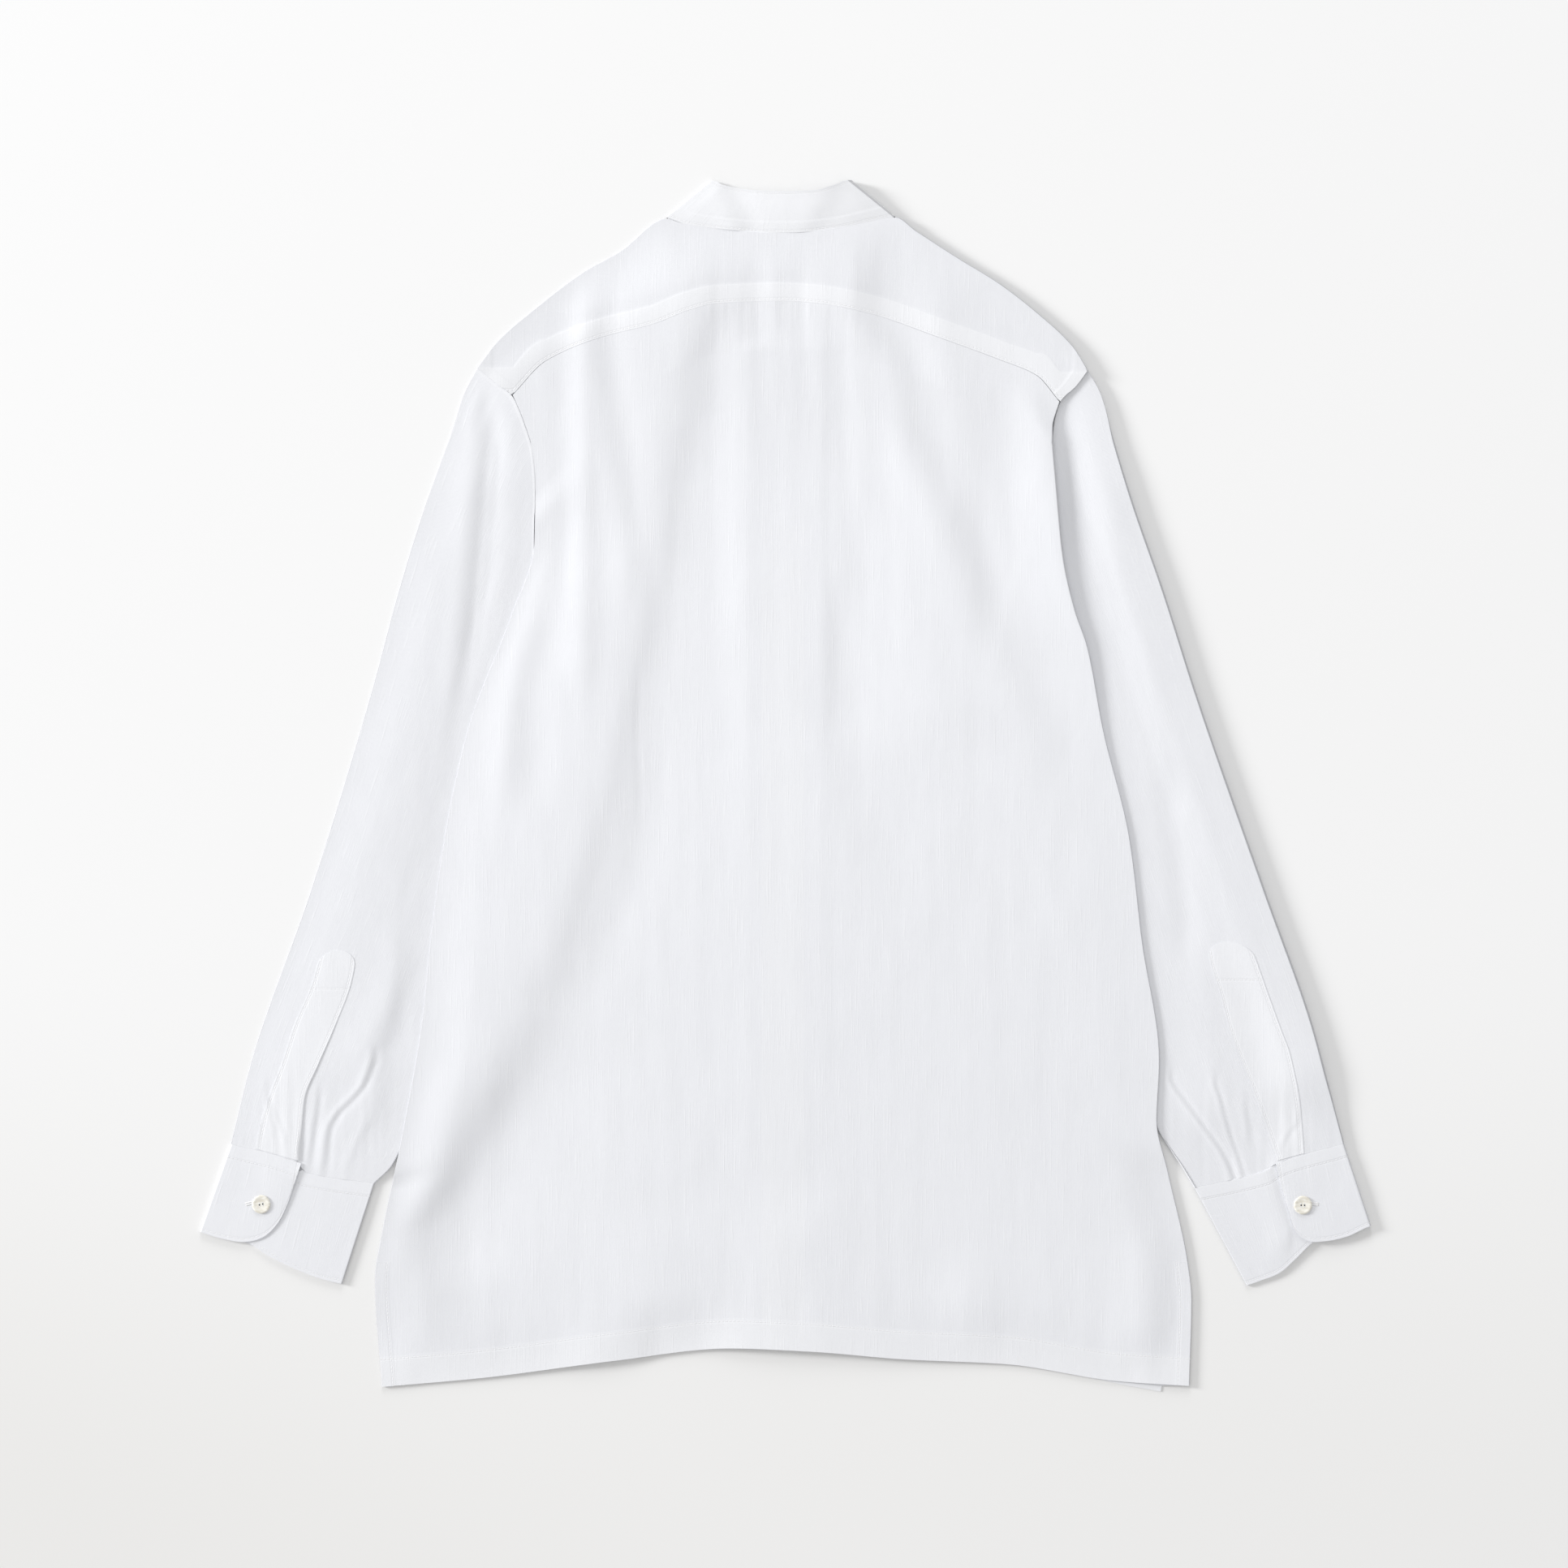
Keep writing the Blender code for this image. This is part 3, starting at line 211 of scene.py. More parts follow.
# Sleeve plackets; columns: y, near reach, far reach
PLACKET = {
    "left": [(-249.6, 329.6, 358.4), (-236.8, 328.2, 356.4), (-211.2, 325.6, 349.8),
        (-189.2, 316.5, 341.4), (-162, 304.7, 332.4), (-132.6, 293.8, 320.1), (-118, 293, 316.6),
        (-111.5, 297.5, 313.4)],
    "right": [(-251.2, 332.5, 350.6), (-218.4, 321, 348), (-182.1, 306.5, 341.2),
        (-165.6, 300.3, 335.2), (-141.9, 294.1, 326.6), (-120, 287.2, 318.8), (-110, 291, 313),
        (-105.5, 296.5, 308)],
}
# Cuffs. Each rung goes from the sleeve's end to the cuff's free edge.
# columns: layer, reach and y at the sleeve's end, reach and y at the free edge
CUFF = {
    "left": [("over", 327.8, -256.4, 331.6, -267), ("over", 332, -255.1, 336.8, -282.2),
        ("over", 337.5, -253.6, 343.8, -296.2), ("over", 345, -251.6, 352.5, -304.9),
        ("over", 355, -248.9, 365.8, -308.8), ("over", 364.5, -246.3, 381.5, -306.6),
        ("outer fold", 375.5, -243.3, 396.6, -302), ("under", 362, -247, 377, -306),
        ("under", 347, -251.1, 362.1, -310.8), ("under", 331, -255.6, 347.6, -319.6),
        ("under", 311, -261.1, 325.6, -329.8), ("under", 292, -266.4, 311, -334.8),
        ("inner fold", 278.3, -270.1, 300.3, -337.4), ("middle", 292, -267.9, 311, -334.8),
        ("middle", 311, -264.8, 325.6, -329.8), ("middle", 329.5, -262.2, 347.6, -319.6),
        ("middle", 347, -259, 361, -311), ("middle", 360, -256.5, 370, -304)],
    "right": [("over", 331.7, -257, 334.4, -268), ("over", 335.5, -255.8, 341, -290),
        ("over", 340.5, -254.3, 345, -302), ("over", 346.5, -252.4, 353, -307.9),
        ("over", 355.5, -249.7, 364.5, -308.3), ("over", 365, -246.8, 379.5, -305.2),
        ("outer fold", 377.9, -242.8, 396.3, -297.9), ("under", 364, -247.1, 376, -303.5),
        ("under", 348, -252, 356.1, -309.7), ("under", 331, -256.9, 345, -320.5),
        ("under", 313, -262.3, 334.4, -329.8), ("under", 294, -268, 322, -334.9),
        ("inner fold", 276.7, -273, 311.9, -338.3), ("middle", 294, -268.9, 322, -334.9),
        ("middle", 313, -264.3, 334.4, -329.8), ("middle", 331, -261.2, 345, -320.5),
        ("middle", 347, -257, 355.5, -310.2), ("middle", 360, -254, 366, -303)],
}
# The right cuff's free edge, in front of which the layer below it swells; columns: y, reach
OVERLAP_EDGE = [(-302, 345), (-290, 341), (-268, 334.4), (-257, 331.7)]
CUFF_LEVEL = {"under": 0.45, "middle": 1.6, "over": 2.75}   # middles of its layers
CUFF_FLATTER = 0.62     # share of those heights that a cuff has at its left end
CUFF_RISE = 60.0        # how far from there it has all of them
SLEEVE_END_Y = {side: [(-reach, y) for _, reach, y in rows] for side, rows in SLEEVE_END.items()}
CUFF_BUTTON = {"left": (354.8, -283.3), "right": (349.8, -283.8)}

SIGN = {"left": -1.0, "right": 1.0}
SIDES = ("left", "right")
END = {"left": 0, "right": -1}  # of the tables that run from left to right


# ------------------------------------------------------------------ arithmetic
def mix(start, end, part):
    return start + (end - start) * part


def ease(part):
    """Rise from 0 to 1 without a corner at either end."""
    part = min(max(part, 0.0), 1.0)
    return part * part * (3.0 - 2.0 * part)


def past(value, start, width):
    """0 up to a start, rising to 1 over a width."""
    return ease((value - start) / width)


def short(value, end, width):
    """1 until a width before an end, falling to 0."""
    return ease((end - value) / width)


def higher(first, second, softness=0.8):
    """The greater of two heights, rounded where they cross."""
    return 0.5 * (first + second + math.hypot(first - second, softness))


def cubic(low, high, leaving, arriving, span, t):
    """A smooth curve between two values, with its slopes at both ends."""
    rest = 1.0 - t
    return (low * rest * rest * (1.0 + 2.0 * t) + high * t * t * (1.0 + 2.0 * rest)
            + leaving * span * t * rest * rest - arriving * span * t * t * rest)


def read(rows, key, column=1):
    """Read a column of a table at a key between its rows, on a smooth curve."""
    if key <= rows[0][0]:
        return rows[0][column]
    if key >= rows[-1][0]:
        return rows[-1][column]
    index = next(i for i in range(len(rows) - 1) if key <= rows[i + 1][0])

    def slope(i):
        return (rows[i + 1][column] - rows[i][column]) / (rows[i + 1][0] - rows[i][0])

    def tangent(i):
        if i == 0 or i == len(rows) - 1:
            return slope(min(i, len(rows) - 2))
        before, after = slope(i - 1), slope(i)
        return 0.0 if before * after <= 0.0 else 2.0 * before * after / (before + after)

    low, high = rows[index], rows[index + 1]
    span = high[0] - low[0]
    return cubic(low[column], high[column], tangent(index), tangent(index + 1), span,
                 (key - low[0]) / span)


def cuff_level(side, layer, reach):
    """Middle of a cuff's layer; a cuff is pressed flatter on its left."""
    end = SLEEVE_END[side][END[side]][1]
    part = (end - reach if side == "left" else reach - end) / CUFF_RISE
    return FIRM_SKIN + (CUFF_LEVEL[layer] - FIRM_SKIN) * mix(CUFF_FLATTER, 1.0, ease(part))


def fold_height(folds, x, y, reach=FOLD_FADE):
    """Add up the folds of a table at one point; they fade over a reach past their ends."""
    total = 0.0
    for kind, height, width, line in folds:
        start, end = line[0][0], line[-1][0]
        fade = ease((y - start) / reach + 1.0) * ease((end - y) / reach + 1.0)
        if fade <= 0.0:
            continue
        off = (x - read(line, y)) / width
        bell = math.exp(-0.5 * off * off)
        if kind == "crest":
            total += height * fade * bell
        elif kind == "slope":
            total -= height * fade * off * bell * SLOPE_GAIN
        else:
            wide = off * width / DROP_FADE
            total -= height * fade * math.tanh(off) * math.exp(-0.5 * wide ** 2)
    return total


# ------------------------------------------------------------- heights (middles)
def side_of(x):
    return "left" if x < 0.0 else "right"


def sleeve_rim(side, y):
    """Reach of the sleeve's hidden edge: the armhole, then the inner edge."""
    if y > UNDERARM_Y:
        return read(ARMHOLE[side], y)
    inner = SLEEVE_INNER[side]
    if y > inner[0][0]:
        return read(inner, y)
    return inner[0][1] + 1.6 * (inner[0][0] - y)


def front_side(side, y):
    """Reach of a front's outer edge: the armhole, then the side seam."""
    if y > UNDERARM_Y:
        return read(ARMHOLE[side], y) - ARMHOLE_SEAM
    return read(FRONT_EDGE[side], y)


def on_sleeve(side, y):
    return ease((COVER_TOP[side] - y) / COVER_FADE)


def body_edge(side, y):
    """Reach of the back's outer edge: a seam at the top, then a folded edge."""
    edge = read(BODY_EDGE[side], y)
    if y > COVER_TOP[side] - COVER_FADE:
        edge = min(edge, read(ARMHOLE[side], y) - ARMHOLE_SEAM)
    return edge


def turned_height(side, reach, y):
    """Middle of the back's turned-under edge, on the front or on the sleeve."""
    cover = ease((reach - (sleeve_rim(side, y) - 14.0)) / 9.0) * on_sleeve(side, y)
    return SECOND + SLEEVE_LIFT * cover


def band_lift(y):
    """Part of the buttons' lift at a height along the button band."""
    return short(y, 300, 18) * past(y, -262, 60)


def front_height(side, x, y):
    """Middle of a front panel; the left one lies under the right one."""
    lift = BAND_LIFT * band_lift(y)
    if side == "left":
        return SKIN + lift * past(x, BAND_LEFT - 24.0, 22)
    over = WALL + GAP + lift
    return SKIN + over * short(x, BAND_RIGHT + 26.0, 24)


def least_height(x, y):
    """Lowest middle of the back that clears all that lies under it."""
    side, reach = side_of(x), abs(x)
    turned = front_side(side, y) - LAP
    rim = sleeve_rim(side, y)
    cover = past(reach, rim - 42.0, 28) * on_sleeve(side, y - 12.0)
    sides = SECOND + SLEEVE_LIFT * cover
    sides += (WALL + GAP) * past(reach, turned - 20.0, 14)
    lift = short(y, 312, 18) * past(y, -300, 70)
    band = past(x, BAND_LEFT - 34.0, 26) * short(x, BAND_RIGHT + 36.0, 26)
    middle = SECOND + (WALL + GAP + BAND_LIFT * lift) * band
    return max(sides, middle)


def back_height(x, y):
    """Middle of the back's upper layer, away from its side edges."""
    level = mix(3.4, 2.7, short(y, -200, 200))
    level -= 1.3 * short(x, -50, 100) * past(y, 110, 90)
    return higher(level + fold_height(BACK_FOLDS, x, y), least_height(x, y) + 0.1)


# ------------------------------------------ small creases that only show close up
VENT_TOP = -318.0       # top of the side vents
# In reach, with columns as in the folds
SLEEVE_CREASES = {
    "left": [
        ("slope", -0.26, 1.8, [(-256, 322.9), (-239, 320.1), (-220.5, 317.4), (-212, 316.4)]),
        ("slope", -0.34, 2.3, [(-256, 311.9), (-234, 309.3), (-223, 304.2), (-212, 293.2),
            (-202, 285.2), (-186, 279)]),
        ("crest", 0.2, 2.6, [(-262, 299), (-240, 291), (-228, 284)]),
        ("crest", -0.14, 4, [(-178, 256), (-130, 260), (-85, 258), (-60, 254)]),
        ("slope", -0.22, 1.8, [(243, 211), (255, 207.5), (268, 203.5)]),
        ("crest", 0.12, 1.6, [(246, 186), (258, 192.5), (268, 199)]),
        ("slope", -0.12, 1.6, [(-232, 346), (-216, 350), (-205, 352)]),
        ("slope", -0.1, 1.5, [(-238, 338), (-222, 345), (-210, 350)]),
    ],
    "right": [
        ("slope", 0.32, 1.9, [(-264, 302.5), (-249.7, 295.9), (-231, 282.7), (-212.3, 269),
            (-200, 260)]),
        ("slope", 0.24, 1.5, [(-263, 309.4), (-249.7, 305.3), (-231, 298.7), (-209.6, 293.2),
            (-203, 290.4)]),
        ("slope", 0.2, 2, [(-233.8, 313.5), (-223.3, 311.9), (-217, 311)]),
        ("slope", 0.12, 1.8, [(-244, 336), (-236, 340), (-228, 347)]),
        ("crest", 0.14, 2.2, [(-245, 352), (-236, 346), (-230, 339)]),
    ],
}
CREASE_FADE = 14.0
# columns: kind, height, half width, line of (y, x)
COLLAR_FOLDS = [
    ("slope", 0.36, 8, [(380, -29), (394, -36), (406, -41)]),
    ("slope", 0.22, 9, [(376, 18), (392, 27), (406, 35)]),
]


# ------------------------------------------------- lines that the pieces follow
def arc(part, radius):
    """In and up on a folded edge, from its lower end (0) to its upper end (1)."""
    angle = math.pi * (part - 0.5)
    return radius * (1.0 - math.cos(angle)), radius * (1.0 + math.sin(angle))


TURN_STEPS = 5          # columns of the back's turned edge, without and with its fold
TURN_LAST = TURN_STEPS + FOLD_STEPS
# rows of the back below its top, by their height at the side edge
BACK_ROW_Y = [198, 163, 140, 114, 87, 60, 35, 0, -35, -70, -106, -140, -175, -205,
    -230, -250, -270, -290, -310, -333, -357, -382, -407]


def steepness(rows, x):
    """Step in y that is a step of 1 square to a sloping seam."""
    return math.hypot(1.0, read(rows, x + 0.5) - read(rows, x - 0.5))


def back_side_y(side, row):
    """Height along the back's side edge, from the yoke (0) to the hem (1)."""
    top_x, top_y = YOKE_SEAM[END[side]]
    return mix(top_y - SEAM * steepness(YOKE_SEAM, top_x), HEM[END[side]][1], row)


def back_station(part, row):
    """Plan position of a point on the back's upper layer."""
    top_x = mix(YOKE_SEAM[0][0], YOKE_SEAM[-1][0], part)
    hem_x = mix(HEM[0][0], HEM[-1][0], part)
    top_y = read(YOKE_SEAM, top_x) - SEAM * steepness(YOKE_SEAM, top_x)
    y = mix(top_y, read(HEM, hem_x), row)
    left, right = [SIGN[side] * body_edge(side, back_side_y(side, row)) for side in SIDES]
    return mix(left, right, part), y


def back_turn(side, row, step):
    """A point on the back's turned edge: 0 is its inner end, then the fold."""
    y = back_side_y(side, row)
    edge = body_edge(side, y) - SKIN
    bend = read(EDGE_ROUND[side], y)
    start = front_side(side, y) - LAP
    pressed = mix(SEAMED, PRESSED, on_sleeve(side, y))
    foot = edge - bend * pressed
    rim = min(max(sleeve_rim(side, y) + 1.0, start + 0.5), foot - 0.5)
    reaches = [start, mix(start, rim, 0.36), mix(start, rim, 0.70), rim,
               mix(rim, foot, 0.5), foot]
    if step <= TURN_STEPS:
        reach = between(reaches, step)
        return SIGN[side] * reach, y, turned_height(side, reach, y)
    inward, up = arc((step - TURN_STEPS) / FOLD_STEPS, bend)
    return SIGN[side] * (edge - inward * pressed), y, turned_height(side, foot, y) + up


# columns of the yoke along each shoulder, as parts of the way out to the armhole,
# and between the two ends of the neck
SHOULDER_PARTS = {
    "left": [1, 0.94, 0.88, 0.76, 0.64, 0.52, 0.44, 0.388],
    "right": [1, 0.94, 0.88, 0.76, 0.64, 0.52, 0.43, 0.362],
}
NECK_START, NECK_STOP = -SHOULDER_PARTS["left"][-1], SHOULDER_PARTS["right"][-1]
NECK_PARTS = [-0.33, -0.26, -0.19, -0.12, -0.04, 0.04, 0.12, 0.19, 0.26, 0.31]
YOKE_X = ([-part for part in SHOULDER_PARTS["left"]] + NECK_PARTS
          + SHOULDER_PARTS["right"][::-1])
YOKE_UNDER = 2          # rows of the yoke: under the shoulder, to the end of the fold
YOKE_FOLDED = YOKE_UNDER + FOLD_STEPS
YOKE_LAST = YOKE_FOLDED + 5     # and at the back seam
YOKE_ROUND = {"left": 0.5, "right": 2.3}


def shoulder_reach(side, part):
    """Reach of a point on a shoulder edge, kept clear of the sleeve."""
    end = abs(SHOULDER[END[side]][0])
    return min(end * part, end - ARMHOLE_SEAM)


def yoke_foot(side, part):
    """Reach and y of the yoke's front seam below a point of the shoulder edge."""
    rows = FRONT_SEAM[side]
    if part == SHOULDER_PARTS[side][-1]:
        return rows[0]
    reach = shoulder_reach(side, part)
    drawn_in = rows[-1][0] / shoulder_reach(side, 1.0)
    reach *= mix(1.0, drawn_in, past(part, 0.7, 0.3))
    return reach, read(rows, reach)


def neckline(reach, half):
    """Height of the front neckline at a distance from the centre line."""
    part = min(reach / half, 1.0)
    return NECK_Y - (NECK_Y - NECK_FRONT_Y) * math.sqrt(max(1.0 - part * part, 0.0))


# rows of a front, by their height at the side edge
FRONT_ROW_Y = [268.5, 258, 246, 224, 198, 163, 120, 90, 60, 35, -30, -100, -175, -238, -300, -345,
    -403]
NECK_CORNER = 75.5      # reach of the neckline's upper end on a front
# Part of the way to the band at the hem: of the columns that meet the yoke's, and
# of those along the neckline, after their reach at the top edge
FRONT_SHARES = [0, 0.05, 0.11, 0.19, 0.28, 0.38, 0.47, 0.56]
NECKLINE_STATIONS = [(71, 0.65), (65, 0.72), (56, 0.79), (44, 0.86), (30, 0.93), (16.5, 1)]


def front_point(side, column, row):
    """A front panel, from its side edge to the free edge of its button band."""
    sign = SIGN[side]
    inner = BAND_LEFT if side == "left" else BAND_RIGHT
    free = BAND_RIGHT if side == "left" else BAND_LEFT
    corner = abs(NECK[side]) - NECK_INSET
    met = len(FRONT_SHARES)
    last = met + len(NECKLINE_STATIONS) - 1
    hem_x, hem_y = FRONT_HEM[END[side]]
    top_side_y = yoke_foot(side, 1.0)[1] - 0.8 * SEAM
    side_y = {0: top_side_y, len(FRONT_ROW_Y) - 1: hem_y}.get(row, FRONT_ROW_Y[row])
    down = (top_side_y - side_y) / (top_side_y - hem_y)
    edge = sign * front_side(side, side_y)
    top_edge = sign * front_side(side, top_side_y)
    if column > last:
        top_x = hem_x = x = mix(inner, free, (column - last) / 2.0)
        top_y = neckline(abs(top_x), corner)
    else:
        if column < met:
            reach, foot_y = yoke_foot(side, SHOULDER_PARTS[side][column])
            top_x, top_y = sign * min(reach, abs(top_edge)), foot_y - 0.8 * SEAM
            hem_part = FRONT_SHARES[column]
        else:
            reach, hem_part = NECKLINE_STATIONS[column - met]
            top_x = sign * reach * corner / NECK_CORNER if column < last else inner
            top_y = neckline(abs(top_x), corner)
        hem_x = mix(hem_x, inner, hem_part)
        top_part = (top_x - top_edge) / (inner - top_edge)
        x = mix(edge, inner, mix(top_part, hem_part, down))
    y = mix(top_y, read(FRONT_HEM, hem_x), down)
    return x, y, front_height(side, x, y)


def sleeve_plan(side, across, down, upper=True):
    """Plan position on a sleeve pressed flat: 0 is its outer edge, 1 its inner."""
    outer, inner = SLEEVE_OUTER[side], SLEEVE_INNER[side]
    shoulder_y, cuff_y = outer[-1][0], outer[0][0]
    hem_y = inner[0][0]

    def armhole(part):
        y = mix(shoulder_y, UNDERARM_Y, part)
        return read(ARMHOLE[side], y), y

    def cuff(part):
        rows = SLEEVE_END[side] if upper else SLEEVE_END[side][::len(SLEEVE_END[side]) - 1]
        return read(rows, part, 1), read(rows, part, 2)

    def outer_edge(part):
        y = mix(shoulder_y, cuff_y, part)
        return read(outer, y), y

    def inner_edge(part):
        y = mix(UNDERARM_Y, hem_y, part)
        return read(inner, y), y

    spot = []
    for axis in (0, 1):
        ends = mix(armhole(across)[axis], cuff(across)[axis], down)
        edges = mix(outer_edge(down)[axis], inner_edge(down)[axis], across)
        corners = mix(mix(armhole(0.0)[axis], armhole(1.0)[axis], across),
                      mix(cuff(0.0)[axis], cuff(1.0)[axis], across), down)
        spot.append(ends + edges - corners)
    return spot


CUFF_SLOPE = 0.28       # of the cuff's seam across the sleeve
FOLD_ROWS = [6, 12]     # where the two folds are in a cuff's table


def cuff_rungs(side):
    """Turn a cuff's table into rungs with heights, each fold as a half round."""
    rungs = []
    rows = CUFF[side]
    for index, (layer, reach, y, low_reach, low_y) in enumerate(rows):
        if not layer.endswith("fold"):
            rungs.append((reach, y, low_reach, low_y, cuff_level(side, layer, reach)))
            continue
        before, after = [cuff_level(side, rows[index + step][0], reach) for step in (-1, 1)]
        bend = 0.5 * abs(before - after)
        outward = 1.0 if layer == "outer fold" else -1.0
        for step in range(FOLD_STEPS + 1):
            inward, up = arc(step / FOLD_STEPS, bend)
            back = outward * (0.7 * inward + FIRM_SKIN)
            drop = CUFF_SLOPE * back
            height = min(before, after) + (up if before < after else 2.0 * bend - up)
            rungs.append((reach - back, y - drop, low_reach - back, low_y - drop, height))
    return rungs


COLLAR_BACK_STEPS = 14
COLLAR_FRONT_STEPS = 8
COLLAR_RISE = {"left": 0.7, "right": 2.6}   # how far its top edge stands up


def yoke_bend(part):
    """Roundness of the shoulder fold, from the left shoulder (-1) to the right (1)."""
    return mix(YOKE_ROUND["left"], YOKE_ROUND["right"], ease(0.5 + part))


def collar_heights(x):
    """Middle of the collar at the back neck seam, level with the yoke, and at its top."""
    part = 2.0 * x / (SHOULDER[-1][0] - SHOULDER[0][0])
    seam = WALL + 2.0 * yoke_bend(part) - FIRM_SKIN
    return seam, seam + mix(COLLAR_RISE["left"], COLLAR_RISE["right"], ease(0.5 + part))


def collar_rungs():
    """Rungs of the collar from the left front end round the back to the right.

    Reach and height of the seam, then of the top edge, and 1 where it is the back.
    """
    rungs = []
    for side in SIDES:
        sign = SIGN[side]
        corner = NECK[side]
        top = COLLAR_TOP[END[side]]
        half = abs(corner) - NECK_INSET
        front = []
        for step in range(COLLAR_FRONT_STEPS):
            turn = mix(0.5 * math.pi, 0.12, step / (COLLAR_FRONT_STEPS - 1))
            x = sign * half * math.cos(turn)
            y = NECK_Y - (NECK_Y - NECK_FRONT_Y) * math.sin(turn)
            x -= sign * SEAM * 2.0 * math.cos(turn)
            y += SEAM * 2.0 * math.sin(turn)
            lean = mix(0.5 * math.pi, 0.84, step / (COLLAR_FRONT_STEPS - 1))
            if step == 0:
                x += sign * (GAP + 0.2)
            front.append((x, y, x - sign * COLLAR_HEIGHT * math.cos(lean),
                          y + COLLAR_HEIGHT * math.sin(lean), FIRM_SKIN, FIRM_SKIN, 0.0))
        rungs.append(front)
        roll = []
        seam_z, crest_z = collar_heights(corner)
        for step in range(FOLD_STEPS + 1):
            low_in, low_up = arc(step / FOLD_STEPS, 0.5 * (seam_z - FIRM_SKIN))
            high_in, high_up = arc(step / FOLD_STEPS, 0.5 * (crest_z - FIRM_SKIN))
            seam_x = corner + sign * 0.6 - sign * (FIRM_SKIN + low_in)
            top_x = top[0] - sign * (FIRM_SKIN + high_in)
            roll.append((seam_x, NECK_Y + 0.6, top_x, top[1] - 0.4, FIRM_SKIN + low_up,
                         FIRM_SKIN + high_up, 0.0))
        rungs.append(roll)
    left_front, left_roll, right_front, right_roll = rungs
    across = []
    start, end = left_roll[-1], right_roll[-1]
    for step in range(1, COLLAR_BACK_STEPS):
        part = step / COLLAR_BACK_STEPS
        x = mix(start[0], end[0], part)
        top_x = mix(start[2], end[2], part)
        across.append((x, read(NECK_SEAM, x) + SEAM, top_x, read(COLLAR_TOP, top_x),
                       *collar_heights(x), 1.0))
    return left_front + left_roll + across + right_roll[::-1] + right_front[::-1]


# ------------------------------------------------------------- cloth mesh maker
def finer(values, longest):
    """Put even steps between the values of a list until none is too long."""
    made = [values[0]]
    for start, end in zip(values, values[1:]):
        count = max(1, math.ceil(abs(end - start) / longest))
        made += [mix(start, end, (step + 1) / count) for step in range(count)]
    return made


def run_along(rungs, stations):
    """Distances in plan along the rungs' first ends, from the first station."""
    run = [0.0]
    for station, ahead in zip(stations, stations[1:]):
        here, there = curve_through(rungs, station), curve_through(rungs, ahead)
        run.append(run[-1] + math.dist(here[:2], there[:2]))
    return run


def between(values, index):
    """Read a list at a fractional index."""
    low = min(int(index), len(values) - 2)
    return mix(values[low], values[low + 1], index - low)


def noisy(x, y, seed):
    """Smooth uneven values from about -0.5 to 0.5."""
    return 0.5 * noise.noise(Vector((x, y, seed)))


def curve_through(rows, index):
    """A smooth curve in plan through rungs, at a fractional index; heights stay straight."""
    low = min(int(index), len(rows) - 2)
    t = index - low

    def chord(i):
        return max(math.dist(rows[i], rows[i + 1]), 0.05)

    def tangent(i, axis):
        if i == 0 or i == len(rows) - 1:
            j = min(i, len(rows) - 2)
            return (rows[j + 1][axis] - rows[j][axis]) / chord(j)
        before, after = chord(i - 1), chord(i)
        into = (rows[i][axis] - rows[i - 1][axis]) / before
        out = (rows[i + 1][axis] - rows[i][axis]) / after
        return (into * after + out * before) / (before + after)

    made = [cubic(rows[low][axis], rows[low + 1][axis], tangent(low, axis),
                  tangent(low + 1, axis), chord(low), t) for axis in range(4)]
    return made + [mix(rows[low][axis], rows[low + 1][axis], t)
                   for axis in range(4, len(rows[0]))]


def sheet(name, columns, rows, place, grain, finish, wall, marks, drop=None, tube=False):
    """Map a grid by place(column, row), mark its seams and give it a wall.

    grain(column, row, point) is the place on the flat cloth, across and along its
    threads; marks names distances from seams and hems. All are in millimetres.
    """
    half = 0.5
    grid = bmesh.new()
    bmesh.ops.create_grid(grid, x_segments=columns, y_segments=rows, size=half)
    layers = {key: grid.verts.layers.float.new(key) for key in marks}
    threads = grid.loops.layers.uv.new("threads")
    spot = {}
    for vertex in grid.verts:
        column = round((vertex.co.x + half) * columns)
        row = round((half - vertex.co.y) * rows)
        spot[vertex] = (column, row)
    if drop:
        gone = [face for face in grid.faces
                if drop(min(spot[v][0] for v in face.verts),
                        min(spot[v][1] for v in face.verts))]
        bmesh.ops.delete(grid, geom=gone, context="FACES")
    flat = {}
    for vertex in grid.verts:
        column, row = spot[vertex]
        point = place(column, row)
        vertex.co = Vector(point) * MM
        flat[vertex] = Vector(grain(column, row, point)) * MM
        for key, layer in layers.items():
            vertex[layer] = marks[key](column, row, point) * MM
    for face in grid.faces:
        for loop in face.loops:
            loop[threads].uv = flat[loop.vert]
    if tube:
        bmesh.ops.remove_doubles(grid, verts=grid.verts, dist=1e-6)
    bmesh.ops.recalc_face_normals(grid, faces=grid.faces)
    rims = [edge.is_boundary for edge in grid.edges]
    mesh = bpy.data.meshes.new(name)
    grid.to_mesh(mesh)
    grid.free()
    item = link(name, mesh, finish)
    for edge, rim in zip(mesh.edges, rims):
        edge.use_edge_sharp = rim
    thick = item.modifiers.new("wall", "SOLIDIFY")
    thick.thickness = wall
    thick.offset = 0.0
    thick.use_even_offset = True
    return item


def link(name, mesh, finish, sharp=60.0):
    """Put a finished mesh in the scene and let it ride with the shirt."""
    item = bpy.data.objects.new(name, mesh)
    mesh.materials.append(finish)
    mesh.shade_smooth()
    mesh.set_sharp_from_angle(angle=math.radians(sharp))
    bpy.context.scene.collection.objects.link(item)
    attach(item, "root")
    return item


def solid(name, shape, finish):
    """Turn a bmesh into a piece that rides with the shirt."""
    bmesh.ops.recalc_face_normals(shape, faces=shape.faces)
    mesh = bpy.data.meshes.new(name)
    shape.to_mesh(mesh)
    shape.free()
    return link(name, mesh, finish, 40.0)


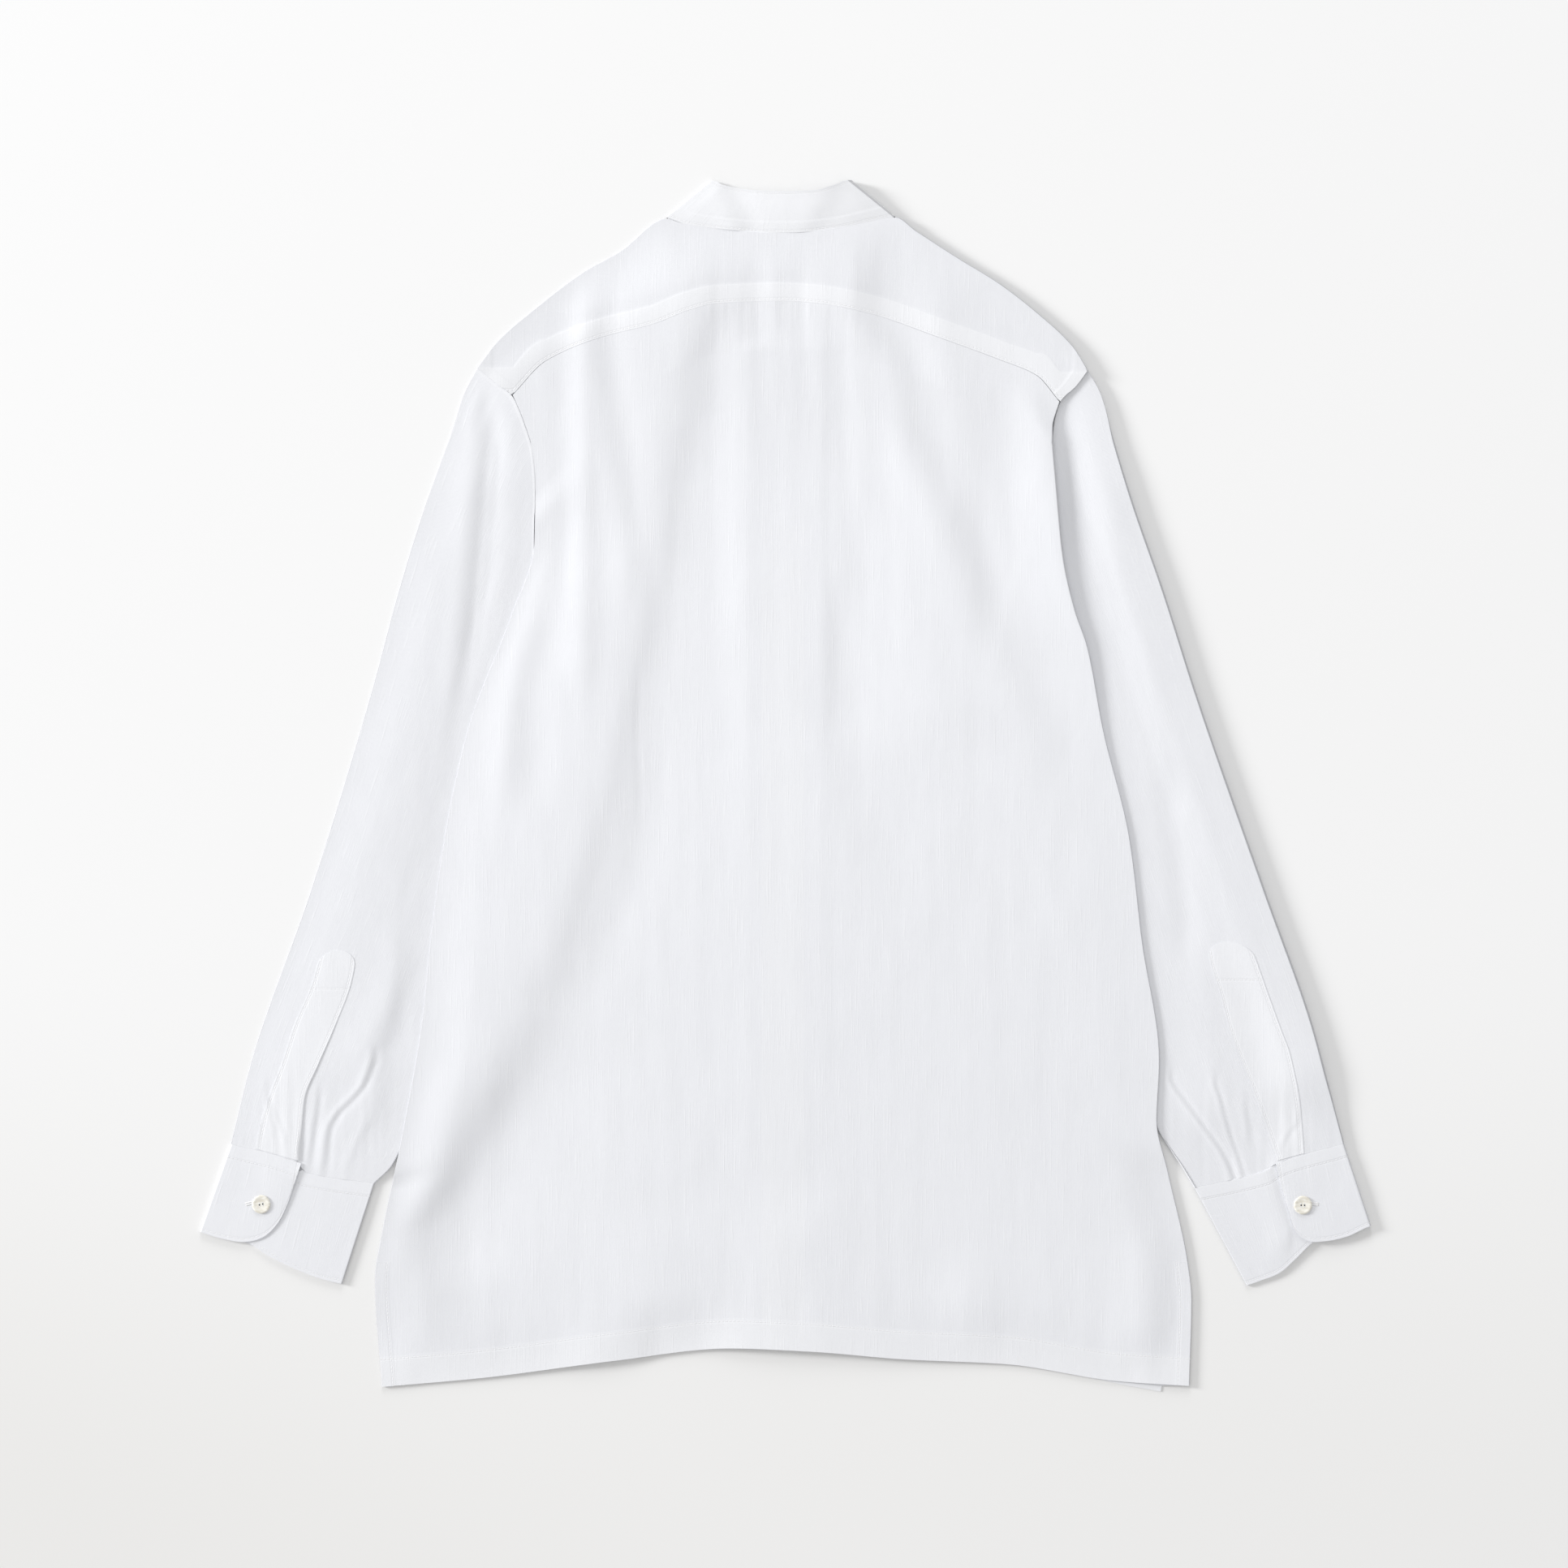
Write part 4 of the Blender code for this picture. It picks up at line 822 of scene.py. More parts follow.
# -------------------------------------------------------------------- finishes
# How far each part of the cloth's surface stands out or in, in metres
WEAVE_RELIEF = 0.00003
SLUB_RELIEF = 0.00004
CLOUD_RELIEF = 0.0002
LAYER_RELIEF = 0.00012
STITCH_RELIEF = 0.0001
STITCH_SINK = 0.00008
STRIP_FADE = 120.0      # length over which the strip below a layer fades in
# The mark "turned" paints shade on the cloth between these values, greying all of it where it is
# 1
PAINTED_SHADE_FROM, PAINTED_SHADE_TO = 0.3, 0.7


class Nodes:
    """Short names for building a node tree."""

    def __init__(self, tree):
        self.tree = tree

    def add(self, kind, **settings):
        made = self.tree.nodes.new("ShaderNode" + kind)
        for key, value in settings.items():
            setattr(made, key, value)
        return made

    def feed(self, socket, value):
        if isinstance(value, bpy.types.NodeSocket):
            self.tree.links.new(value, socket)
        else:
            socket.default_value = value

    def sum(self, operation, *values):
        """A Math node on sockets or numbers."""
        made = self.add("Math", operation=operation)
        for socket, value in zip(made.inputs, values):
            self.feed(socket, value)
        return made.outputs[0]

    def times(self, first, second):
        return self.sum("MULTIPLY", first, second)

    def plus(self, first, second):
        return self.sum("ADD", first, second)

    def span(self, value, start, end):
        """Rise smoothly from 0 to 1 over a range."""
        made = self.add("MapRange", interpolation_type="SMOOTHSTEP")
        for key, number in zip(("Value", "From Min", "From Max"), (value, start, end)):
            self.feed(made.inputs[key], number)
        return made.outputs["Result"]

    def band(self, value, start, end, soft):
        """1 between two values and 0 outside them."""
        opened = self.span(value, start - soft, start + soft)
        closed = self.span(value, end - soft, end + soft)
        return self.sum("SUBTRACT", opened, closed)

    def speckle(self, vector, stretch, detail):
        """Noise on coordinates that are stretched by a Mapping node."""
        mapped = self.add("Mapping")
        self.feed(mapped.inputs["Vector"], vector)
        mapped.inputs["Scale"].default_value = stretch
        made = self.add("TexNoise")
        made.inputs["Scale"].default_value = 1.0
        made.inputs["Detail"].default_value = detail
        self.feed(made.inputs["Vector"], mapped.outputs[0])
        return made.outputs["Fac"]

    def mark(self, name):
        """One of the sheet's marks, a distance in metres."""
        return self.add("Attribute", attribute_name=name).outputs["Fac"]

    def place(self):
        return self.add("TexCoord").outputs["Object"]

    def split(self, vector):
        """The outputs X, Y and Z of a vector."""
        made = self.add("SeparateXYZ")
        self.feed(made.inputs[0], vector)
        return made.outputs

    def emboss(self, shader, height, distance):
        made = self.add("Bump")
        made.inputs["Strength"].default_value = 1.0
        made.inputs["Distance"].default_value = distance
        self.feed(made.inputs["Height"], height)
        self.feed(shader.inputs["Normal"], made.outputs[0])

    def blend(self, part, first, second):
        """Mix two colours."""
        made = self.add("Mix", data_type="RGBA")
        self.feed(made.inputs["Factor"], part)
        self.feed(made.inputs["A"], first)
        self.feed(made.inputs["B"], second)
        return made.outputs["Result"]


def surface(name, roughness, sheen=0.0, coat=0.0):
    """A material with its Principled shader and a node builder for it."""
    made = bpy.data.materials.new(name)
    made.use_nodes = True
    shader = made.node_tree.nodes["Principled BSDF"]
    shader.inputs["Roughness"].default_value = roughness
    shader.inputs["Sheen Weight"].default_value = sheen
    shader.inputs["Sheen Roughness"].default_value = 0.6
    shader.inputs["Coat Weight"].default_value = coat
    shader.inputs["Coat Roughness"].default_value = 0.12
    return made, shader, Nodes(made.node_tree)


def rgb(colour, factor=1.0):
    return (*[channel * factor for channel in colour], 1.0)


def linen(name, lined=0.0, doubled=(), stitched=(), strip=None, turned=0.0, pale=1.0):
    """Plain-weave linen with slubs.

    lined: how much the whole piece is whitened by the layers behind it.
    doubled: (mark, from, to) bands that lie on a second layer of cloth, with their
    strength where they show less.
    stitched: (mark, distance, threads axis) rows of stitches. Distances are in mm.
    strip: (from x, to x, top y), a strip that shows from the layer underneath.
    turned: how much painted shade greys the cloth where the mark "turned" lies: pressed folds and
    parts of the back and yoke.
    pale: how much lighter the piece's cloth is than the rest.
    """
    sizes, colours = bpy.context.scene.shirt_sizes, bpy.context.scene.shirt_colours
    made, shader, nodes = surface(name, 0.82, sheen=0.12)
    threads = nodes.add("UVMap", uv_map="threads").outputs["UV"]
    parts = nodes.split(threads)
    across, along = parts["X"], parts["Y"]

    pitch = sizes.thread_pitch
    warp = nodes.sum("SINE", nodes.times(across, 2.0 * math.pi / pitch))
    weft = nodes.sum("SINE", nodes.times(along, 2.0 * math.pi / pitch))
    weave = nodes.times(warp, weft)
    # slubs and clouds are counted per metre across and along the threads
    long_slubs = nodes.speckle(threads, (950.0, 38.0, 1.0), 3.0)
    cross_slubs = nodes.speckle(threads, (42.0, 800.0, 1.0), 2.0)
    cloudy = nodes.speckle(threads, (60.0, 26.0, 1.0), 4.0)
    slubs = nodes.plus(nodes.span(long_slubs, 0.52, 0.74),
                       nodes.times(nodes.span(cross_slubs, 0.58, 0.78), 0.5))

    base = [mix(one, two, lined) * pale for one, two in zip(colours.linen, colours.doubled)]
    colour = nodes.blend(nodes.span(cloudy, 0.3, 0.7), rgb(base, 0.990), rgb(base, 1.005))
    colour = nodes.blend(nodes.times(slubs, 0.35), colour, rgb(colours.doubled))
    for mark, start, end, *strength in doubled:
        distance = nodes.mark(mark)
        layer = nodes.band(distance, start * MM, end * MM, 0.0004)
        colour = nodes.blend(nodes.times(layer, *strength or [0.85]), colour,
                             rgb(colours.doubled))
    if strip:
        place = nodes.split(nodes.place())
        left, right, top = strip
        layer = nodes.band(place["X"], left * MM, right * MM, 0.0006)
        shown = nodes.span(place["Y"], top * MM, (top - STRIP_FADE) * MM)
        layer = nodes.times(layer, shown)
        colour = nodes.blend(nodes.times(layer, 0.4), colour, rgb(colours.doubled))
    if turned:
        # Painted shade: greys folded edges and, on the back and yoke, the parts that the mark
        # "turned" picks
        fold = nodes.mark("turned")
        painted_shade = nodes.times(nodes.span(fold, PAINTED_SHADE_FROM * MM, PAINTED_SHADE_TO * MM), turned)
        colour = nodes.blend(painted_shade, colour, rgb(colours.linen, 0.45))
    height = nodes.times(weave, WEAVE_RELIEF)
    height = nodes.plus(height, nodes.times(slubs, SLUB_RELIEF))
    height = nodes.plus(height, nodes.times(cloudy, CLOUD_RELIEF))
    for mark, start, end, *strength in doubled:
        distance = nodes.mark(mark)
        layer = nodes.band(distance, start * MM, end * MM, 0.0012)
        height = nodes.plus(height, nodes.times(layer, LAYER_RELIEF))
    for mark, distance, axis in stitched:
        off = nodes.mark(mark)
        width = sizes.thread_width
        row = nodes.band(off, distance * MM - 0.5 * width, distance * MM + 0.5 * width,
                         0.3 * width)
        run = across if axis == "across" else along
        step = nodes.sum("FRACT", nodes.sum("DIVIDE", run, sizes.stitch_length))
        stitch = nodes.times(row, nodes.band(step, 0.14, 0.86, 0.08))
        stitch_gap_shade = nodes.sum("SUBTRACT", row, stitch)
        sunk = nodes.band(off, distance * MM - 1.6 * width, distance * MM + 1.6 * width,
                          1.2 * width)
        height = nodes.plus(height, nodes.times(stitch, STITCH_RELIEF))
        height = nodes.sum("SUBTRACT", height, nodes.times(sunk, STITCH_SINK))
        colour = nodes.blend(nodes.times(stitch, 0.6), colour, rgb(colours.thread))
        # Painted shade in the gaps between stitches, where the thread goes into the cloth
        colour = nodes.blend(nodes.times(stitch_gap_shade, 0.06), colour, rgb(colours.linen, 0.55))
    nodes.emboss(shader, height, 1.0)
    nodes.feed(shader.inputs["Base Color"], colour)
    return made


def pearl(name):
    """Cream shell with soft cloudy bands under a clear gloss."""
    colours = bpy.context.scene.shirt_colours
    made, shader, nodes = surface(name, 0.28, coat=0.5)
    clouds = nodes.speckle(nodes.place(), (260.0, 620.0, 400.0), 3.0)
    colour = nodes.blend(nodes.span(clouds, 0.35, 0.68), rgb(colours.shell, 0.9),
                         rgb(colours.shell_light))
    nodes.feed(shader.inputs["Base Color"], colour)
    nodes.emboss(shader, clouds, 0.00008)
    return made


def yarn(name, colour, tint=1.0):
    """Twisted sewing thread."""
    made, shader, nodes = surface(name, 0.7, sheen=0.2)
    twist = nodes.speckle(nodes.place(), (2600.0, 2600.0, 2600.0), 1.0)
    shade = nodes.blend(nodes.span(twist, 0.35, 0.65), rgb(colour, 0.82 * tint),
                        rgb(colour, tint))
    nodes.feed(shader.inputs["Base Color"], shade)
    nodes.emboss(shader, twist, 0.0001)
    return made


def paper(name):
    """The matt pale floor, with painted shade that makes it greyer and warmer below the hem and
    towards its lower left corner.
    """
    colours = bpy.context.scene.shirt_colours
    made, shader, nodes = surface(name, 0.95)
    place = nodes.place()
    grain = nodes.speckle(place, (3.0, 3.0, 3.0), 2.0)
    parts = nodes.split(place)
    low = nodes.span(parts["Y"], -0.06, -0.50)
    corner = nodes.plus(nodes.times(parts["X"], -0.6), nodes.times(parts["Y"], -0.8))
    # Painted shade, darker towards the bottom and the lower left corner
    painted_floor_shade = nodes.plus(nodes.times(low, 0.6), nodes.times(nodes.span(corner, 0.38, 0.74), 0.4))
    base = nodes.blend(grain, rgb(colours.floor, 0.994), rgb(colours.floor))
    nodes.feed(shader.inputs["Base Color"], nodes.blend(painted_floor_shade, base, rgb(colours.floor_shade)))
    shader.inputs["Specular IOR Level"].default_value = 0.2
    return made


# ------------------------------------------------------- creases of the surface
FULLNESS_LEFT = -62.0   # the back is eased into the yoke between these
FULLNESS_RIGHT = 66.0


def weather(x, y):
    """Small unevenness of washed linen that has been pressed and laid down."""
    streaks = 0.15 * noisy(x / 11.0, y / 150.0, 3.0) + 0.04 * noisy(x / 4.5, y / 90.0, 8.0)
    return streaks + 0.30 * noisy(x / 38.0, y / 60.0, 5.0)


def gathers(x, below):
    """Puckers where the back is eased into the yoke, fading down the back."""
    if below < 0.0 or below > 160.0:
        return 0.0
    full = past(x, FULLNESS_LEFT, 14) * short(x, FULLNESS_RIGHT, 14)
    part = mix(0.28, 1.0, full)
    fine = 0.4 * noisy(x / 2.9, 0.0, 11.0) * math.exp(-below / 9.0)
    broad = 0.45 * noisy(x / 7.5, below / 220.0, 17.0) * math.exp(-below / 62.0)
    return part * (fine + broad) * ease(below / 3.0 + 0.35)


# how far the hem is off the cloth and floor below it; columns: x, height
HEM_LIFT = [(-273, 0.2), (-205, 0.5), (-160, 1.2), (-125, 2.6), (-104, 1.9), (-84, 0.6),
    (-64, 0.7), (-30, 2.3), (0, 3), (45, 2.7), (100, 1.3), (150, 0.5), (230, 0.4), (273, 0.8)]


def hem_waves(x, y):
    """Ripples where the stitched hem pulls the cloth."""
    above = y - read(HEM, x)
    if above > 70.0:
        return 0.0
    return 0.5 * noisy(x / 13.0, 4.0, 23.0) * math.exp(-abs(above - 19.0) / 20.0)


# -------------------------------------------------------------------- back
BACK_TURN = finer(range(TURN_STEPS + 1), 0.25)
BACK_FOLD = finer([TURN_STEPS, TURN_LAST], 0.55)[1:]
BACK_TOP = 216          # columns between the folded edges
BACK_CROWDED = 0.05     # how much closer they stand near the edges
BACK_NEAR_Y = [264.0, 232.0]    # rows stand close between these
# Shares of a width where a narrow strip runs beside each folded edge, to keep it crisp
CRISP = [0.0003, 0.0012]


def crisp(count):
    """Even shares between 0 and 1, with narrow ones beside both ends."""
    inner = CRISP + [(index + 1) / count for index in range(count - 1)]
    return inner + [1.0 - share for share in CRISP[::-1]]


def back_fine(x, y, top_y):
    """Middle of the back with its small creases."""
    small = weather(x, y) + gathers(x, top_y - y) + hem_waves(x, y)
    least = least_height(x, y)
    made = max(back_height(x, y) + small, least - 0.2)
    above = y - read(HEM, x)
    return mix(made, least + read(HEM_LIFT, x), 0.9 * ease(1.0 - above / 42.0))


def seam_height(x):
    """Middle of the cloth where the back meets the yoke."""
    y = read(YOKE_SEAM, x)
    return near_side(x, 0.0, back_fine(x, y, y))


def near_side(x, down, height):
    """Bring a height of the back down to the folded edge beside it."""
    end_x, _, end_z = back_turn(side_of(x), down, TURN_LAST)
    return mix(height, end_z, ease(1.0 - abs(abs(end_x) - abs(x)) / 38.0))


def painted_back_shade(x, y):
    """Painted shade on the back: greyer low down, near the yoke and at its upper left, most at
    its lower left edge; 0 where it is lifted.
    """
    lifted = past(y, -270, 400) * short(y, 262, 70)
    lifted *= 1.0 - 0.9 * short(x, -50, 60) * past(y, 140, 60)
    corner = 1.6 * short(y, -130, 60) + 1.1 * short(y, -250, 50)
    corner *= short(x, -205, 30) * past(y, -390, 40)
    return 1.0 - lifted + corner


def make_back():
    sizes = bpy.context.scene.shirt_sizes
    rows = finer(BACK_NEAR_Y, 2.0) + finer(BACK_ROW_Y, 5.2)
    lead = BACK_TURN + BACK_FOLD
    columns = ([("left", step) for step in lead]
               + [("top", share) for share in crisp(BACK_TOP)]
               + [("right", step) for step in lead[::-1]])

    def place(column, row):
        kind, station = columns[column]
        down = (rows[0] - rows[row]) / (rows[0] - rows[-1])
        if kind != "top":
            return back_turn(kind, down, station)
        part = station + BACK_CROWDED * math.sin(2.0 * math.pi * station)
        ends = [back_turn(side, down, TURN_LAST) for side in SIDES]
        x = mix(ends[0][0], ends[1][0], part)
        _, y = back_station(part, down)
        _, top_y = back_station(part, 0.0)
        return x, y, near_side(x, down, back_fine(x, y, top_y))

    def above_hem(column, row, point):
        return point[1] - read(HEM, point[0])

    def turned(column, row, point):
        # Painted shade: greys the back's folded side edges fully, and the rest of it where it
        # lies low, near the yoke and at its left
        kind, station = columns[column]
        if kind != "top" and TURN_STEPS < station < TURN_LAST:
            return 1.0
        return PAINTED_SHADE_FROM + 0.073 * math.sqrt(painted_back_shade(point[0], point[1]))

    def from_vent(column, row, point):
        from_side = body_edge(side_of(point[0]), point[1]) - abs(point[0])
        return mix(FAR, from_side, short(point[1], VENT_TOP, 3))

    def grain(column, row, point):
        return point[0] + (FAR if columns[column][0] != "top" else 0.0), point[1]

    # The back's cloth is painted lighter overall, as light falls on it, and painted shade then
    # greys it in places
    item = sheet("back_panel", len(columns) - 1, len(rows) - 1, place, grain,
                 linen("back_linen", pale=1.037,
                       doubled=[("above_hem", -3.0, sizes.hem_depth / MM, 0.6),
                                ("from_vent", -3.0, 9.0, 0.12)],
                       stitched=[("above_hem", sizes.hem_depth / MM - 1.2, "across"),
                                 ("from_vent", 7.8, "along")],
                       strip=(BAND_LEFT, BAND_RIGHT, 225.0), turned=0.6),
                 sizes.cloth_wall,
                 marks={"above_hem": above_hem, "from_vent": from_vent, "turned": turned})
    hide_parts("back")


# -------------------------------------------------------------------- yoke
YOKE_COLUMNS = finer(YOKE_X, 0.0115)
YOKE_ROWS = (finer([0.0, YOKE_UNDER], 0.3) + finer([YOKE_UNDER, YOKE_FOLDED], 0.6)[1:]
             + [YOKE_FOLDED + 0.01, YOKE_FOLDED + 0.04]
             + finer([YOKE_FOLDED, YOKE_LAST], 0.14)[1:])


def yoke_place(column, row):
    x, y, z = yoke_point_at(YOKE_COLUMNS[column], YOKE_ROWS[row])
    shown = past(YOKE_ROWS[row], YOKE_FOLDED, 1) * short(YOKE_ROWS[row], YOKE_LAST, 1.5)
    return x, y, z + shown * 0.6 * weather(x * 1.3 + 400.0, y)


def yoke_point_at(part, row):
    """The yoke, from its front seam round the shoulder edge to the back seam."""
    at_neck = NECK_START < part < NECK_STOP
    side = side_of(part)
    shoulder_x = SIGN[side] * shoulder_reach(side, abs(part))
    seam_x = (-YOKE_SEAM[0][0] if part < 0.0 else YOKE_SEAM[-1][0]) * part
    shoulder_y = read(SHOULDER, shoulder_x)
    seam_y = read(YOKE_SEAM, seam_x)
    bend = yoke_bend(part)
    if row <= YOKE_UNDER:
        reach, foot_y = yoke_foot(side, abs(part))
        over = row / YOKE_UNDER
        start_y = shoulder_y - SKIN - bend * PRESSED
        return (mix(SIGN[side] * reach, shoulder_x, over),
                mix(foot_y + 0.5 * SEAM, start_y, over), SKIN)
    if row < YOKE_FOLDED:
        inward, up = arc((row - YOKE_UNDER) / FOLD_STEPS, bend)
        return shoulder_x, shoulder_y - SKIN - inward * PRESSED, SKIN + up
    down = (row - YOKE_FOLDED) / (YOKE_LAST - YOKE_FOLDED)
    pressed_y = shoulder_y - SKIN - bend * PRESSED
    start_y = read(NECK_SEAM, shoulder_x) if at_neck else pressed_y
    y = mix(start_y, seam_y, down)
    x = mix(shoulder_x, seam_x, down)
    if abs(part) == 1.0:
        x = SIGN[side] * (read(ARMHOLE[side], y) - ARMHOLE_SEAM)
    start_z = SKIN + 2.0 * bend
    seam_z = seam_height(x)
    roll = 0.15 * math.exp(-0.5 * ((y - seam_y - 13.0) / 4.0) ** 2)
    return x, y, mix(start_z, seam_z, ease(down * 1.15)) - roll * ease(down * 3.0)


def make_yoke():
    sizes = bpy.context.scene.shirt_sizes

    def in_neck(column, row):
        inside = (NECK_START - 1e-6 <= YOKE_COLUMNS[column]
                  and YOKE_COLUMNS[column + 1] <= NECK_STOP + 1e-6)
        return inside and YOKE_ROWS[row] < YOKE_FOLDED - 1e-6

    def above_seam(column, row, point):
        if YOKE_ROWS[row] < YOKE_FOLDED:
            return FAR
        return square_to_seam(YOKE_SEAM, point[0], point[1])

    def turned(column, row, point):
        # Painted shade: greys the shoulder's folded edge, and the yoke more towards its left end
        if YOKE_UNDER < YOKE_ROWS[row] < YOKE_FOLDED - 0.1:
            return 1.0
        return PAINTED_SHADE_FROM + 0.11 * short(point[0], -128, 34)

    def from_armhole(column, row, point):
        if YOKE_ROWS[row] < YOKE_FOLDED:
            return FAR
        return 0.8 * (read(ARMHOLE[side_of(point[0])], point[1]) - abs(point[0]))

    item = sheet("back_yoke", len(YOKE_COLUMNS) - 1, len(YOKE_ROWS) - 1, yoke_place,
                 lambda column, row, point: (point[0], point[1] + point[2] * 3.0),
                 linen("yoke_linen",
                       doubled=[("above_seam", 0.0, sizes.seam_allowance / MM, 0.65),
                                ("from_armhole", -3.0, 8.0, 0.15)],
                       stitched=[("above_seam", 1.6, "across")], turned=0.6),
                 sizes.cloth_wall,
                 marks={"above_seam": above_seam, "from_armhole": from_armhole,
                        "turned": turned}, drop=in_neck)
    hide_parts("yoke")


def square_to_seam(rows, x, y):
    """Distance above a sloping seam, measured square to it."""
    x = min(max(x, rows[0][0] + 0.5), rows[-1][0] - 0.5)
    return (y - read(rows, x)) / steepness(rows, x)


# -------------------------------------------------------------------- fronts
def make_front(side):
    sizes = bpy.context.scene.shirt_sizes
    met = len(FRONT_SHARES)
    columns = finer(range(met + len(NECKLINE_STATIONS) + 2), 0.25)
    rows = finer(range(len(FRONT_ROW_Y)), 0.17)

    def place(column, row):
        left, top = columns[column], rows[row]
        near, over = min(int(left), int(columns[-1]) - 1), min(int(top), len(FRONT_ROW_Y) - 2)
        lines = [zip(front_point(side, at, over)[:2], front_point(side, at, over + 1)[:2])
                 for at in (near, near + 1)]
        x, y = [mix(mix(*first, top - over), mix(*second, top - over), left - near)
                for first, second in zip(*lines)]
        return x, y, front_height(side, x, y)

    def above_hem(column, row, point):
        return point[1] - read(FRONT_HEM, point[0])

    def from_band(column, row, point):
        if side == "left":
            return BAND_RIGHT - point[0]
        return point[0] - BAND_LEFT

    item = sheet(f"{side}_front", len(columns) - 1, len(rows) - 1, place,
                 lambda column, row, point: point[:2],
                 linen(f"{side}_front_linen",
                       doubled=[("above_hem", -3.0, sizes.hem_depth / MM),
                                ("from_band", -3.0, BAND_RIGHT - BAND_LEFT)],
                       stitched=[("above_hem", sizes.hem_depth / MM - 1.2, "across"),
                                 ("from_band", 1.8, "along"),
                                 ("from_band", BAND_RIGHT - BAND_LEFT - 1.8, "along")]),
                 sizes.cloth_wall, marks={"above_hem": above_hem, "from_band": from_band})
    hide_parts("front_" + side)


# -------------------------------------------------------------------- sleeves
SLEEVE_LENGTH = 545.0   # along the threads
SLEEVE_DROP = (282.0, 525.0)    # y of a sleeve's top, and its length down the page
SLEEVE_ROWS = 150
SLEEVE_TOP = 90         # columns of a sleeve's upper layer, and of its lower one
SLEEVE_UNDER = 24
SEAM_SHOWS = (180.0, 266.0)     # y between which the left armhole's seam is seen
SLEEVE_RIM = {"left": 1.2, "right": 4.9}    # height of a sleeve along its outer fold
SLEEVE_TIP = {"left": 1.2, "right": 3.2}    # and where it meets the shoulder
PUFF = {"left": 0.35, "right": 0.9}         # how full its upper layer is


def rim_height(side, down):
    """Middle of a sleeve's top layer at its outer fold, from the shoulder down."""
    return mix(SLEEVE_TIP[side], SLEEVE_RIM[side], ease(down / 0.16))


def near_cuff(side, reach, y):
    """How near the cuff's seam is, the height that meets it, and the placket's lift."""
    above = y - read(SLEEVE_END_Y[side], -reach) - 0.6
    before, width = {"left": (1.0, 1.6), "right": (9.0, 12.0)}[side]
    if side == "right":
        before, width = before + 17.0 * ease(above / 40.0), width + 24.0 * ease(above / 40.0)
    on_top = ease((reach - read(PLACKET[side], y, 1) + before) / width)
    meet = cuff_level(side, "middle", reach)
    step = cuff_level(side, "over", reach) - meet
    meet += FIRM_SKIN - SKIN
    fading = mix(ease(1.0 - above / 112.0), ease(1.0 - above / 34.0), 0.55)
    return ease(1.0 - above / 60.0), meet, step * on_top * fading


def sleeve_fine(side, reach, y, rim_z):
    """Middle of a sleeve's upper layer with its folds and small creases."""
    outer, rim = read(SLEEVE_OUTER[side], y), sleeve_rim(side, y)
    body = read(BODY_EDGE[side], y)
    near, width = {"left": (4.0, 22.0), "right": (9.0, 30.0)}[side]
    shown = ease((reach - (max(body, rim) + near)) / width)
    edge = short(reach, outer, 30)
    end = 0.35 + 0.65 * past(y, -262, 40)
    puff = PUFF[side] + fold_height(SLEEVE_FOLDS[side], reach, y)
    inside = short(reach, outer, 12) * past(reach, rim, 12)
    near = past(reach, body, 8) if y > -300.0 else 1.0
    small = 0.6 * weather(SIGN[side] * reach + 0.36 * y + 900.0, y)
    small += fold_height(SLEEVE_CREASES[side], reach, y, CREASE_FADE)
    small += 0.35 * noisy(reach / 5.0, 1.0, 31.0) * short(y, -170, 70)
    flat = SLEEVE_FLAT - SKIN
    if side == "left":
        flat += 0.5 * past(y, 180, 32)
    roll = (rim_z - flat) * ease(1.0 - (outer - reach) / 46.0)
    body_of = flat + roll + min(max(puff, -0.8), 2.7) * shown * edge * end
    ending, meet, step = near_cuff(side, reach, y)
    return mix(body_of, meet, ending) + step + small * inside * near


def closer(side, reach, y):
    """Draw the sleeve's seam in to the back's edge where both show."""
    low, high = SEAM_SHOWS
    if side == "right" or not low < y < high:
        return reach
    rim = sleeve_rim(side, y)
    gap = max(rim - body_edge(side, y) - 0.12, 0.0)
    return reach - (gap * past(y, low, 12) * short(y, high, 6)
                    * ease(1.0 - (reach - rim) / 10.0))


